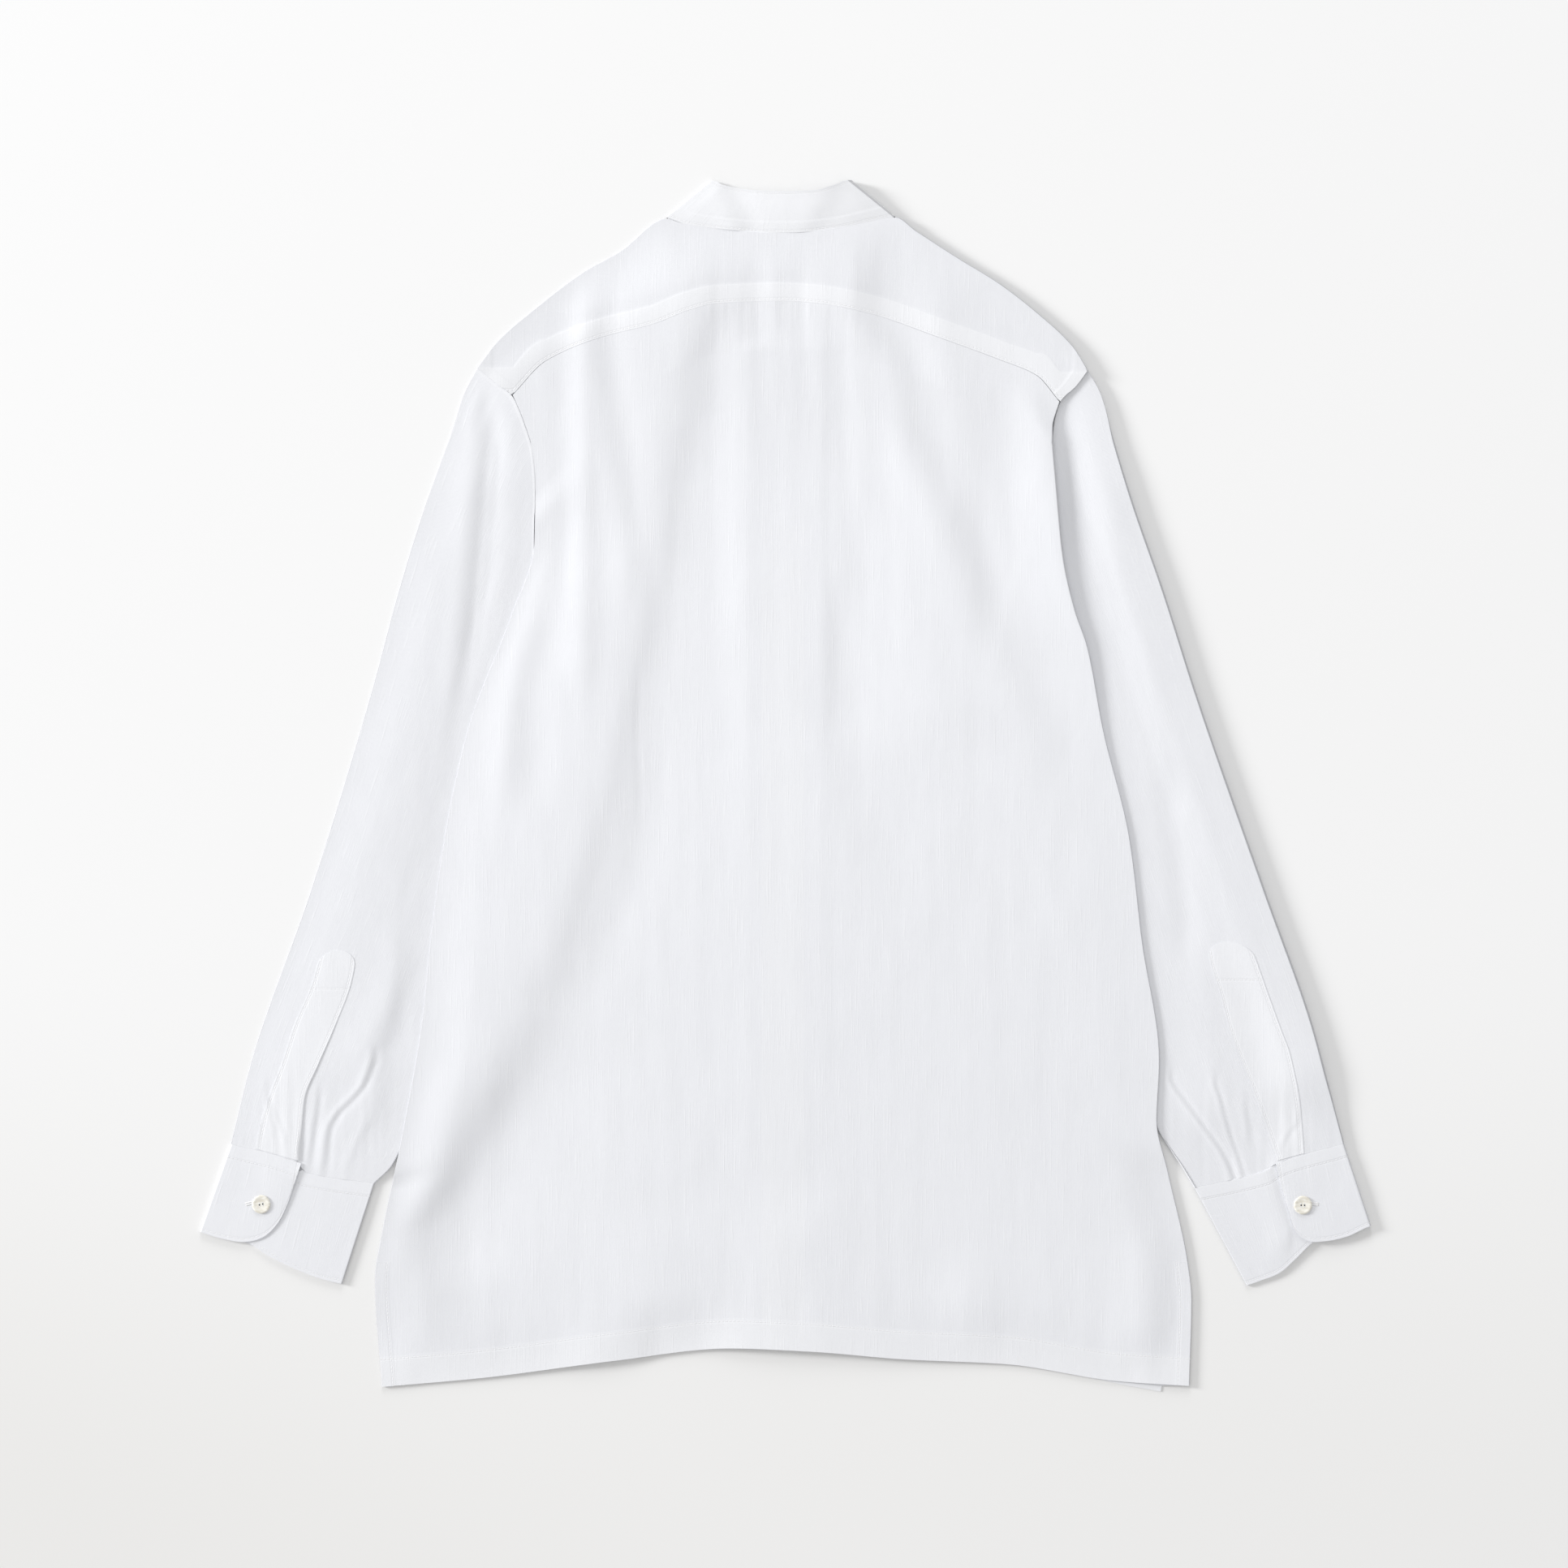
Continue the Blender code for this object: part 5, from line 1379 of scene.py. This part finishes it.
def make_sleeve(side):
    sizes = bpy.context.scene.shirt_sizes
    shares = [0.0] + crisp(SLEEVE_TOP) + [1.0]
    over, under, bends = len(shares) - 1, SLEEVE_UNDER, FOLD_STEPS + 3
    ring = over + under + 2 * bends
    bend = 0.5 * (SLEEVE_FLAT - WALL)
    mean_width = 0.5 * (
        math.dist(sleeve_plan(side, 0.0, 0.0), sleeve_plan(side, 1.0, 0.0))
        + math.dist(sleeve_plan(side, 0.0, 1.0), sleeve_plan(side, 1.0, 1.0)))

    def place(column, row):
        down = row / SLEEVE_ROWS
        start, end = sleeve_plan(side, 0.0, down), sleeve_plan(side, 1.0, down)
        width = math.dist(start, end)
        rim_z = rim_height(side, down)
        full = 0.5 * (sleeve_fine(side, *start, rim_z) - SKIN)
        column %= ring
        pressed = mix(SEAMED, PRESSED, on_sleeve(side, start[1]))
        if column <= over:
            inset = mix(SKIN + full * pressed, width - SKIN - bend, shares[column])
            x, y = sleeve_plan(side, inset / width, down)
            return SIGN[side] * closer(side, x, y), y, sleeve_fine(side, x, y, rim_z)
        column -= over
        if column < bends:
            inward, up = arc(1.0 - column / bends, bend)
            x, y = sleeve_plan(side, 1.0 - (SKIN + inward) / width, down)
            return SIGN[side] * x, y, SKIN + up
        column -= bends
        if column <= under:
            inset = mix(width - SKIN - bend, SKIN + full * pressed, column / under)
            x, y = sleeve_plan(side, inset / width, down, upper=False)
            return SIGN[side] * x, y, SKIN
        inward, up = arc((column - under) / bends, full)
        x, y = sleeve_plan(side, (SKIN + inward * pressed) / width, down)
        return SIGN[side] * x, y, SKIN + up

    def grain(column, row, point):
        part = shares[column] if column <= over else 1.0 + (column - over) / (ring - over)
        return (part - 0.5) * mean_width, -row / SLEEVE_ROWS * SLEEVE_LENGTH

    def turned(column, row, point):
        # Painted shade along the sleeve's outer folded edge
        return 1.0 if over + bends + under < column % ring or column % ring == 0 else 0.0

    starts = [place(column, 0) for column in range(ring + 1)]

    def from_armhole(column, row, point):
        return math.dist(starts[column][:2], point[:2])

    item = sheet(f"{side}_sleeve", ring, SLEEVE_ROWS, place, grain,
                 linen(f"{side}_sleeve_linen", doubled=[("from_armhole", -1.0, 2.2, 0.4)],
                       turned=0.6),
                 sizes.cloth_wall, marks={"from_armhole": from_armhole, "turned": turned},
                 tube=True)
    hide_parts("sleeve_" + side)


# -------------------------------------------------------------------- plackets
PLACKET_CAP = 11.0      # depth of a placket's round top
PLACKET_TIP = {"left": (290.0, 314.5), "right": (284.5, 313.5)}


def make_placket(side):
    sizes = bpy.context.scene.shirt_sizes
    tip_y = PLACKET[side][-1][0]
    rows = PLACKET[side][:-2] + [(tip_y, *PLACKET_TIP[side])]
    across, down = 22, 70
    foot_y = PLACKET[side][0][0]

    def place(column, row):
        off = 2.0 * column / across - 1.0
        top = tip_y - PLACKET_CAP * (1.0 - math.sqrt(1.0 - 0.98 * off * off))
        y = mix(top, foot_y, row / down)
        near, far = read(rows, y, 1), read(rows, y, 2)
        reach = mix(near, far, column / across)
        y += CUFF_SLOPE * (reach - 0.5 * (near + far)) * short(y, -190, 50)
        rim_z = rim_height(side, (SLEEVE_DROP[0] - y) / SLEEVE_DROP[1])
        lift = sleeve_fine(side, reach, y, rim_z) + SKIN + 0.12
        free = short(y, -150, 30) * ease(1.0 - column / across / 0.22)
        return SIGN[side] * reach, y, lift + 0.15 * free

    def from_edge(column, row, point):
        y, reach = point[1], abs(point[0])
        return 0.94 * min(reach - read(rows, y, 1), read(rows, y, 2) - reach)

    def from_tip(column, row, point):
        return tip_y - point[1]

    item = sheet(f"{side}_sleeve_placket", across, down, place,
                 lambda column, row, point: point[:2],
                 linen(f"{side}_placket_linen", lined=0.45,
                       stitched=[("from_edge", 1.8, "along"),
                                 ("from_tip", 26.0, "across")]),
                 sizes.placket_wall, marks={"from_edge": from_edge, "from_tip": from_tip})
    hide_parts("sleeve_placket_" + side)


# -------------------------------------------------------------------- cuffs
CUFF_ROWS = 26
MIDDLE_MEETS = {"left": 326.5, "right": 333.0}  # reach to which a middle layer meets its sleeve
# beside a cuff's button: a point on its seam, its free edge, and how far the end leans in
CUFF_SEAM_REACH, CUFF_SEAM_Y, CUFF_EDGE_Y, CUFF_LEAN = 350.0, -250.0, -308.5, 11.0


def cuff_puff(reach, part):
    """How full a cuff's upper layer is, a little uneven along it."""
    return 0.25 + 0.45 * noisy(reach / 16.0, part * 2.0, 41.0)


def cuff_top(side, reach, y):
    """Top of a cuff near its button."""
    seam_y = CUFF_SEAM_Y + CUFF_SLOPE * (reach - CUFF_SEAM_REACH)
    part = (seam_y - y) / (seam_y - CUFF_EDGE_Y)
    start = reach - CUFF_LEAN * part
    return (cuff_level(side, "over", start) + FIRM_SKIN
            + cuff_puff(start, part) * math.sin(math.pi * part))


def make_cuff(side):
    sizes = bpy.context.scene.shirt_sizes
    rungs = cuff_rungs(side)
    beside = [at + index * FOLD_STEPS + edge for index, at in enumerate(FOLD_ROWS)
              for edge in (-0.02, FOLD_STEPS + 0.02)]
    stations = sorted(finer(range(len(rungs)), 0.125) + beside)
    run = run_along(rungs, stations)
    ends = sorted(sleeve_plan(side, index / 80, 1.0) for index in range(81))
    last = MIDDLE_MEETS[side]

    def place(column, row):
        reach, y, low_reach, low_y, height = curve_through(rungs, stations[column])
        part = row / CUFF_ROWS
        puff = cuff_puff(reach, part)
        x = mix(reach, low_reach, part)
        layer = min(CUFF_LEVEL, key=lambda kind: abs(height - cuff_level(side, kind, reach)))
        puff = {"over": puff, "middle": min(puff, 0.1), "under": 0.0}[layer]
        if side == "right" and layer == "middle":
            before = x - read(OVERLAP_EDGE, mix(y, low_y, part))
            swell = past(before, -27, 21) * ease(-before / 6.0)
            height += 0.6 * swell * short(part, 1, 0.3)
        top_y = y + 0.72
        if layer == "over":
            top_y = max(top_y, read(ends, reach) - 2.0 * SEAM)
        elif layer == "middle":
            meet = read(ends, min(reach, last)) - 2.0 * SEAM
            top_y = mix(meet, top_y, past(reach, last, 5))
        y = mix(top_y, low_y, part)
        return SIGN[side] * x, y, height + puff * math.sin(math.pi * part)

    def depth(column, row, point):
        reach, y, low_reach, low_y, _ = curve_through(rungs, stations[column])
        return math.dist((reach, y), (low_reach, low_y)) * row / CUFF_ROWS

    def from_hem(column, row, point):
        reach, y, low_reach, low_y, _ = curve_through(rungs, stations[column])
        return math.dist((reach, y), (low_reach, low_y)) * (1.0 - row / CUFF_ROWS)

    def from_end(column, row, point):
        return min(run[column], run[-1] - run[column])

    def turned(column, row, point):
        # Painted shade round the cuff's two folded edges
        reach, height = rungs[round(stations[column])][0], rungs[round(stations[column])][4]
        levels = [cuff_level(side, layer, reach) for layer in CUFF_LEVEL]
        return 0.0 if min(abs(height - level) for level in levels) < 0.1 else 1.0

    item = sheet(f"{side}_cuff", len(stations) - 1, CUFF_ROWS, place,
                 lambda column, row, point: (
                     run[column], -depth(column, row, point)),
                 linen(f"{side}_cuff_linen", doubled=[("depth", 0.0, 9.0, 0.15)],
                       stitched=[("depth", 9.0, "across"), ("from_hem", 2.2, "across"),
                                 ("from_end", 2.2, "along")], turned=0.6),
                 sizes.firm_wall, marks={"depth": depth, "from_hem": from_hem,
                                         "from_end": from_end, "turned": turned})
    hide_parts("cuff_" + side)


# -------------------------------------------------------------------- collar
def make_collar():
    sizes = bpy.context.scene.shirt_sizes
    rungs = collar_rungs()
    last = len(rungs) - 1
    rolled = COLLAR_FRONT_STEPS + FOLD_STEPS + 0.02
    stations = sorted(finer(range(last + 1), 0.2) + [rolled, last - rolled])
    rise = 22
    run = run_along(rungs, stations)

    def place(column, row):
        x, y, top_x, top_y, z, top_z, back = curve_through(rungs, stations[column])
        up = row / rise
        height = mix(z, top_z, up)
        swell = 0.3 * math.sin(math.pi * min(up * 1.15, 1.0))
        small = swell + fold_height(COLLAR_FOLDS, mix(x, top_x, up), mix(y, top_y, up))
        return mix(x, top_x, up), mix(y, top_y, up), height + back * small

    def rise_of(column, row, point):
        return COLLAR_HEIGHT * row / rise

    def from_top(column, row, point):
        return COLLAR_HEIGHT * (1.0 - row / rise)

    def turned(column, row, point):
        # Painted shade on the collar's rolled ends
        from_end = min(stations[column], last - stations[column])
        inside = COLLAR_FRONT_STEPS <= from_end < COLLAR_FRONT_STEPS + FOLD_STEPS - 0.1
        return 1.0 if inside else 0.0

    item = sheet("stand_collar", len(stations) - 1, rise, place,
                 lambda column, row, point: (run[column], COLLAR_HEIGHT * row / rise),
                 linen("collar_linen", lined=0.8, doubled=[("rise_of", 0.0, 9.0, 0.3)],
                       stitched=[("rise_of", 1.8, "across"), ("from_top", 2.0, "across")],
                       turned=0.6),
                 sizes.firm_wall,
                 marks={"rise_of": rise_of, "from_top": from_top, "turned": turned})
    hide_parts("collar")


# -------------------------------------------------------------------- buttons
HOLE_SPREAD = 1.15      # from a button's centre to its holes, each way
HOLE_RADIUS = 0.32
THREAD_RADIUS = 0.21
CUFF_BUTTON_TURN = {"left": 0.25, "right": 0.0}
BUTTONHOLE_LENGTH = 13.0
BUTTONHOLE_WIDTH = 2.6
BUTTONHOLE_TURN = {"left": 0.28, "right": -0.2}
BUTTONHOLE_SHIFT = (4.6, 1.6)   # outward and up from its button


def make_button(name, node, x, y, underside, turned):
    """A turned shell button with a rim, a dish and four holes, sewn on."""
    sizes = bpy.context.scene.shirt_sizes
    radius, thick = 0.5 * sizes.button_diameter / MM, BUTTON_THICKNESS
    profile = [(0.0, thick - 0.22), (radius - 2.9, thick - 0.21), (radius - 2.2, thick - 0.14),
               (radius - 1.5, thick - 0.03), (radius - 1.0, thick), (radius - 0.4, thick - 0.12),
               (radius, thick - 0.45), (radius - 0.25, 0.28), (radius - 0.9, 0.08),
               (radius - 1.6, 0.0), (0.0, 0.0)]
    shape = bmesh.new()
    points = [shape.verts.new(Vector((out, 0.0, up)) * MM) for out, up in profile]
    edges = [shape.edges.new(pair) for pair in zip(points, points[1:])]
    bmesh.ops.spin(shape, geom=points + edges, cent=(0.0, 0.0, 0.0), axis=(0.0, 0.0, 1.0),
                   angle=2.0 * math.pi, steps=48, use_merge=True, use_duplicate=False)
    bmesh.ops.remove_doubles(shape, verts=shape.verts, dist=1e-6)
    centre = Vector((x, y, underside)) * MM
    bmesh.ops.translate(shape, verts=shape.verts, vec=centre)
    item = solid(name, shape, pearl(name + "_shell"))
    drill = bmesh.new()
    for side_x in (-HOLE_SPREAD, HOLE_SPREAD):
        for side_y in (-HOLE_SPREAD, HOLE_SPREAD):
            made = bmesh.ops.create_cone(drill, cap_ends=True, segments=16, depth=6.0 * MM,
                                         radius1=HOLE_RADIUS * MM, radius2=HOLE_RADIUS * MM)
            spot = Vector((side_x, side_y, 0.5 * thick))
            spot.rotate(turn_about_z(turned))
            bmesh.ops.translate(drill, verts=made["verts"], vec=centre + spot * MM)
    bore = bpy.data.meshes.new(name + "_bore")
    drill.to_mesh(bore)
    drill.free()
    tool = bpy.data.objects.new(name + "_bore", bore)
    bpy.context.scene.collection.objects.link(tool)
    cut = item.modifiers.new("holes", "BOOLEAN")
    cut.operation, cut.solver, cut.object = "DIFFERENCE", "EXACT", tool
    graph = bpy.context.evaluated_depsgraph_get()
    drilled = bpy.data.meshes.new_from_object(item.evaluated_get(graph))
    item.modifiers.remove(cut)
    item.data = drilled
    drilled.set_sharp_from_angle(angle=math.radians(35.0))
    bpy.data.objects.remove(tool, do_unlink=True)
    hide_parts(node)
    sew_on(name, centre, turned, thick)


def turn_about_z(angle):
    return Matrix.Rotation(angle, 3, "Z")


def sew_on(name, centre, turned, thick):
    """Two runs of thread through a button's holes."""
    shape, spread = bmesh.new(), HOLE_SPREAD
    for side_x in (-spread, spread):
        for offset in (-0.17, 0.17):
            path = [(side_x + offset, -spread - 0.1, 0.25),
                    (side_x + offset, -spread, thick - 0.2),
                    (side_x + 1.2 * offset, -0.55 * spread, thick - 0.13),
                    (side_x + 1.2 * offset, 0.55 * spread, thick - 0.13),
                    (side_x + offset, spread, thick - 0.2),
                    (side_x + offset, spread + 0.1, 0.25)]
            ring = bmesh.ops.create_circle(shape, cap_ends=False, segments=8,
                                           radius=THREAD_RADIUS * MM)["verts"]
            bmesh.ops.translate(shape, verts=ring, vec=Vector(path[0]) * MM)
            edges = [edge for edge in shape.edges if all(end in ring for end in edge.verts)]
            for before, point in zip(path, path[1:]):
                grown = bmesh.ops.extrude_edge_only(shape, edges=edges)["geom"]
                ring = [part for part in grown if isinstance(part, bmesh.types.BMVert)]
                edges = [part for part in grown if isinstance(part, bmesh.types.BMEdge)
                         and all(end in ring for end in part.verts)]
                ahead = (Vector(point) - Vector(before)) * MM
                bmesh.ops.translate(shape, verts=ring, vec=ahead)
    for vertex in shape.verts:
        vertex.co.rotate(turn_about_z(turned))
        vertex.co += centre
    solid(name + "_thread", shape, yarn(name + "_yarn", bpy.context.scene.shirt_colours.thread))


def make_buttonhole(name, side, x, y):
    """A worked buttonhole: two rows of close stitches round a slit."""
    shape = bmesh.new()
    bmesh.ops.create_grid(shape, x_segments=60, y_segments=14, size=0.5)
    for vertex in shape.verts:
        along, off = vertex.co.x * BUTTONHOLE_LENGTH, vertex.co.y
        end = short(abs(along), 0.5 * BUTTONHOLE_LENGTH, 0.8)
        ridge = abs(math.sin(2.0 * math.pi * min(abs(off), 0.5)))
        tooth = 0.06 * math.sin(along * 2.0 * math.pi / 0.55)
        height = (0.24 + tooth) * ridge * end
        spot = Vector((along, off * BUTTONHOLE_WIDTH, height))
        spot.rotate(turn_about_z(BUTTONHOLE_TURN[side]))
        spot += Vector((x, y, 0.03))
        spot.z += cuff_top(side, abs(spot.x), spot.y)
        vertex.co = spot * MM
    solid(name, shape, yarn(name + "_yarn", bpy.context.scene.shirt_colours.thread, 0.97))


def make_front_buttons():
    for index in range(FRONT_BUTTONS):
        y = FIRST_BUTTON_Y - BUTTON_PITCH * index
        make_button(f"front_shell_{index + 1}", f"front_button_{index + 1}",
                    0.5 * (BAND_LEFT + BAND_RIGHT), y, 0.0, 0.0)


def make_cuff_buttons():
    for side in SIDES:
        reach, y = CUFF_BUTTON[side]
        outward, up = BUTTONHOLE_SHIFT
        make_button(f"{side}_cuff_shell", "cuff_button_" + side, SIGN[side] * reach, y,
                    cuff_top(side, reach, y) + GAP, CUFF_BUTTON_TURN[side])
        make_buttonhole(f"{side}_cuff_buttonhole", side, SIGN[side] * (reach + outward), y + up)


# -------------------------------------------------------------------- the stage
CAMERA_OFFSET = (-0.0011, 0.0011)   # from above the origin, in metres


def make_stage():
    colours, lights = bpy.context.scene.shirt_colours, bpy.context.scene.shirt_lights
    shape = bmesh.new()
    bmesh.ops.create_grid(shape, x_segments=1, y_segments=1, size=4.0)
    for vertex in shape.verts:
        vertex.co.z = -0.1 * MM
    mesh = bpy.data.meshes.new("floor")
    shape.to_mesh(mesh)
    shape.free()
    floor = bpy.data.objects.new("floor", mesh)
    mesh.materials.append(paper("pale_paper"))
    bpy.context.scene.collection.objects.link(floor)

    sky = bpy.data.worlds.new("studio")
    bpy.context.scene.world = sky
    sky.use_nodes = True
    backing = sky.node_tree.nodes["Background"]
    backing.inputs["Color"].default_value = rgb(colours.fill)
    backing.inputs["Strength"].default_value = lights.fill_strength

    add_softbox("key", lights.key_place, lights.key_size, lights.key_power)
    add_softbox("top", lights.top_place, lights.top_size, lights.top_power)

    camera = bpy.data.cameras.new("camera")
    camera.sensor_width, camera.lens = 36.0, 100.0
    camera.clip_start, camera.clip_end = 0.1, 30.0
    stand = bpy.data.objects.new("camera", camera)
    stand.location = (*CAMERA_OFFSET, lights.camera_height)
    bpy.context.scene.collection.objects.link(stand)
    bpy.context.scene.camera = stand
    bpy.context.scene.view_settings.view_transform = "Standard"


def add_softbox(name, place, size, power):
    lamp = bpy.data.lights.new(name, "AREA")
    lamp.shape = "DISK"
    lamp.size = size
    lamp.energy = power
    item = bpy.data.objects.new(name, lamp)
    item.location = place
    item.rotation_mode = "QUATERNION"
    item.rotation_quaternion = (-Vector(place)).to_track_quat("-Z", "Y")
    bpy.context.scene.collection.objects.link(item)


# ------------------------------------------------------------ sizes and colours
class ShirtSizes(bpy.types.PropertyGroup):
    cloth_wall: FloatProperty(
        name="Cloth thickness", description="Thickness of one layer of linen",
        default=0.0004, min=0.0002, max=0.001, unit="LENGTH", precision=5)
    placket_wall: FloatProperty(
        name="Placket thickness", description="Thickness of a pressed sleeve placket",
        default=0.00016, min=0.0001, max=0.001, unit="LENGTH", precision=5)
    firm_wall: FloatProperty(
        name="Cuff and collar thickness", description="Thickness of a lined layer",
        default=0.0008, min=0.0004, max=0.0015, unit="LENGTH", precision=5)
    hem_depth: FloatProperty(
        name="Hem depth", description="Depth of the turned and stitched hem",
        default=0.0195, min=0.005, max=0.04, unit="LENGTH", precision=4)
    seam_allowance: FloatProperty(
        name="Yoke seam allowance", description="Width of the seam allowance inside the yoke",
        default=0.0125, min=0.004, max=0.02, unit="LENGTH", precision=4)
    thread_pitch: FloatProperty(
        name="Thread pitch", description="Distance between neighbouring linen threads",
        default=0.0007, min=0.0003, max=0.002, unit="LENGTH", precision=5)
    stitch_length: FloatProperty(
        name="Stitch length", description="Length of one topstitch",
        default=0.0026, min=0.001, max=0.006, unit="LENGTH", precision=4)
    thread_width: FloatProperty(
        name="Sewing thread width", description="Width of the sewing thread",
        default=0.0005, min=0.0002, max=0.001, unit="LENGTH", precision=5)
    button_diameter: FloatProperty(
        name="Button diameter", description="Diameter of the shell buttons",
        default=0.0125, min=0.008, max=0.013, unit="LENGTH", precision=4)


class ShirtColours(bpy.types.PropertyGroup):
    linen: FloatVectorProperty(
        name="Linen", description="One layer of linen", subtype="COLOR", size=3,
        default=(0.815, 0.823, 0.855), min=0.0, max=1.0)
    doubled: FloatVectorProperty(
        name="Doubled linen", description="Linen on a second layer of linen",
        subtype="COLOR", size=3, default=(0.875, 0.882, 0.905), min=0.0, max=1.0)
    thread: FloatVectorProperty(
        name="Sewing thread", description="Topstitching and buttonholes",
        subtype="COLOR", size=3, default=(0.90, 0.90, 0.91), min=0.0, max=1.0)
    shell: FloatVectorProperty(
        name="Shell", description="Darker bands of the buttons", subtype="COLOR", size=3,
        default=(0.84, 0.80, 0.70), min=0.0, max=1.0)
    shell_light: FloatVectorProperty(
        name="Light shell", description="Lighter bands of the buttons", subtype="COLOR",
        size=3, default=(0.93, 0.91, 0.84), min=0.0, max=1.0)
    floor: FloatVectorProperty(
        name="Floor", description="The pale floor", subtype="COLOR", size=3,
        default=(0.90, 0.90, 0.90), min=0.0, max=1.0)
    # Colour of the floor's painted shade, below the hem and at its lower left
    floor_shade: FloatVectorProperty(
        name="Lower floor", description="The floor below the hem", subtype="COLOR", size=3,
        default=(0.803, 0.797, 0.785), min=0.0, max=1.0)
    fill: FloatVectorProperty(
        name="Fill light", description="Colour of the light from all round",
        subtype="COLOR", size=3, default=(1.0, 1.0, 1.0), min=0.0, max=1.0)


class ShirtLights(bpy.types.PropertyGroup):
    key_place: FloatVectorProperty(
        name="Key place", description="Where the key light stands", subtype="TRANSLATION",
        size=3, default=(-13.2, 3.6, 3.7), unit="LENGTH")
    key_size: FloatProperty(
        name="Key size", description="Diameter of the key light", default=3.0, min=0.1,
        max=5.0, unit="LENGTH")
    key_power: FloatProperty(
        name="Key power", description="Power of the key light", default=2040.0, min=0.0,
        unit="POWER")
    top_place: FloatVectorProperty(
        name="Top light place", description="Where the light beyond the collar stands",
        subtype="TRANSLATION", size=3, default=(-0.6, 7.0, 2.4), unit="LENGTH")
    top_size: FloatProperty(
        name="Top light size", description="Diameter of the light beyond the collar",
        default=3.0, min=0.1, max=5.0, unit="LENGTH")
    top_power: FloatProperty(
        name="Top light power", description="Power of the light beyond the collar",
        default=187.0, min=0.0, unit="POWER")
    fill_strength: FloatProperty(
        name="Fill strength", description="Strength of the light from all round",
        default=0.655, min=0.0, max=3.0)
    camera_height: FloatProperty(
        name="Camera height", description="Height of the camera above the floor",
        default=2.95, min=1.0, max=6.0, unit="LENGTH")


# ------------------------------------------------------------------- operators
class SHIRT_OT_back(bpy.types.Operator):
    """Make the back panel with its folds, hem and side vents"""
    bl_idname = "shirt.back"
    bl_label = "Back"

    def execute(self, context):
        make_back()
        return {"FINISHED"}


class SHIRT_OT_yoke(bpy.types.Operator):
    """Make the yoke, which wraps over both shoulders"""
    bl_idname = "shirt.yoke"
    bl_label = "Yoke"

    def execute(self, context):
        make_yoke()
        return {"FINISHED"}


class SHIRT_OT_fronts(bpy.types.Operator):
    """Make both fronts with their button bands"""
    bl_idname = "shirt.fronts"
    bl_label = "Fronts"

    def execute(self, context):
        for side in SIDES:
            make_front(side)
        return {"FINISHED"}


class SHIRT_OT_sleeves(bpy.types.Operator):
    """Make both sleeves with the pleats above their cuffs"""
    bl_idname = "shirt.sleeves"
    bl_label = "Sleeves"

    def execute(self, context):
        for side in SIDES:
            make_sleeve(side)
        return {"FINISHED"}


class SHIRT_OT_plackets(bpy.types.Operator):
    """Make the round-topped sleeve plackets"""
    bl_idname = "shirt.plackets"
    bl_label = "Sleeve plackets"

    def execute(self, context):
        for side in SIDES:
            make_placket(side)
        return {"FINISHED"}


class SHIRT_OT_cuffs(bpy.types.Operator):
    """Make both cuffs with their rounded overlap"""
    bl_idname = "shirt.cuffs"
    bl_label = "Cuffs"

    def execute(self, context):
        for side in SIDES:
            make_cuff(side)
        return {"FINISHED"}


class SHIRT_OT_collar(bpy.types.Operator):
    """Make the stand collar"""
    bl_idname = "shirt.collar"
    bl_label = "Collar"

    def execute(self, context):
        make_collar()
        return {"FINISHED"}


class SHIRT_OT_buttons(bpy.types.Operator):
    """Make the shell buttons with their thread and the cuffs' buttonholes"""
    bl_idname = "shirt.buttons"
    bl_label = "Buttons"

    def execute(self, context):
        make_front_buttons()
        make_cuff_buttons()
        return {"FINISHED"}


class SHIRT_OT_stage(bpy.types.Operator):
    """Make the floor, the lights and the camera"""
    bl_idname = "shirt.stage"
    bl_label = "Stage"

    def execute(self, context):
        make_stage()
        return {"FINISHED"}


class SHIRT_PT_panel(bpy.types.Panel):
    """Lists the shirt's sizes, colours, lights and pieces"""
    bl_idname = "SHIRT_PT_panel"
    bl_label = "Mandarin Collar Shirt"
    bl_space_type = "VIEW_3D"
    bl_region_type = "UI"
    bl_category = "Shirt"

    def draw(self, context):
        scene = context.scene
        for title, group in (("Sizes", scene.shirt_sizes), ("Colours", scene.shirt_colours),
                             ("Lights", scene.shirt_lights)):
            box = self.layout.box()
            box.label(text=title)
            for key in group.__annotations__:
                box.prop(group, key)
        for operator in OPERATORS:
            self.layout.operator(operator.bl_idname)


GROUPS = {"shirt_sizes": ShirtSizes, "shirt_colours": ShirtColours, "shirt_lights": ShirtLights}
OPERATORS = (SHIRT_OT_back, SHIRT_OT_yoke, SHIRT_OT_fronts, SHIRT_OT_sleeves,
             SHIRT_OT_plackets, SHIRT_OT_cuffs, SHIRT_OT_collar, SHIRT_OT_buttons,
             SHIRT_OT_stage)


def register():
    for group in GROUPS.values():
        bpy.utils.register_class(group)
    for key, group in GROUPS.items():
        setattr(bpy.types.Scene, key, PointerProperty(type=group))
    for operator in OPERATORS:
        bpy.utils.register_class(operator)
    bpy.utils.register_class(SHIRT_PT_panel)


def unregister():
    bpy.utils.unregister_class(SHIRT_PT_panel)
    for operator in reversed(OPERATORS):
        bpy.utils.unregister_class(operator)
    for key in GROUPS:
        delattr(bpy.types.Scene, key)
    for group in reversed(GROUPS.values()):
        bpy.utils.unregister_class(group)


def main():
    register()
    for operator in (bpy.ops.shirt.stage, bpy.ops.shirt.fronts, bpy.ops.shirt.sleeves,
                     bpy.ops.shirt.back, bpy.ops.shirt.yoke, bpy.ops.shirt.plackets,
                     bpy.ops.shirt.cuffs, bpy.ops.shirt.collar, bpy.ops.shirt.buttons):
        operator()


if __name__ == "__main__":
    main()
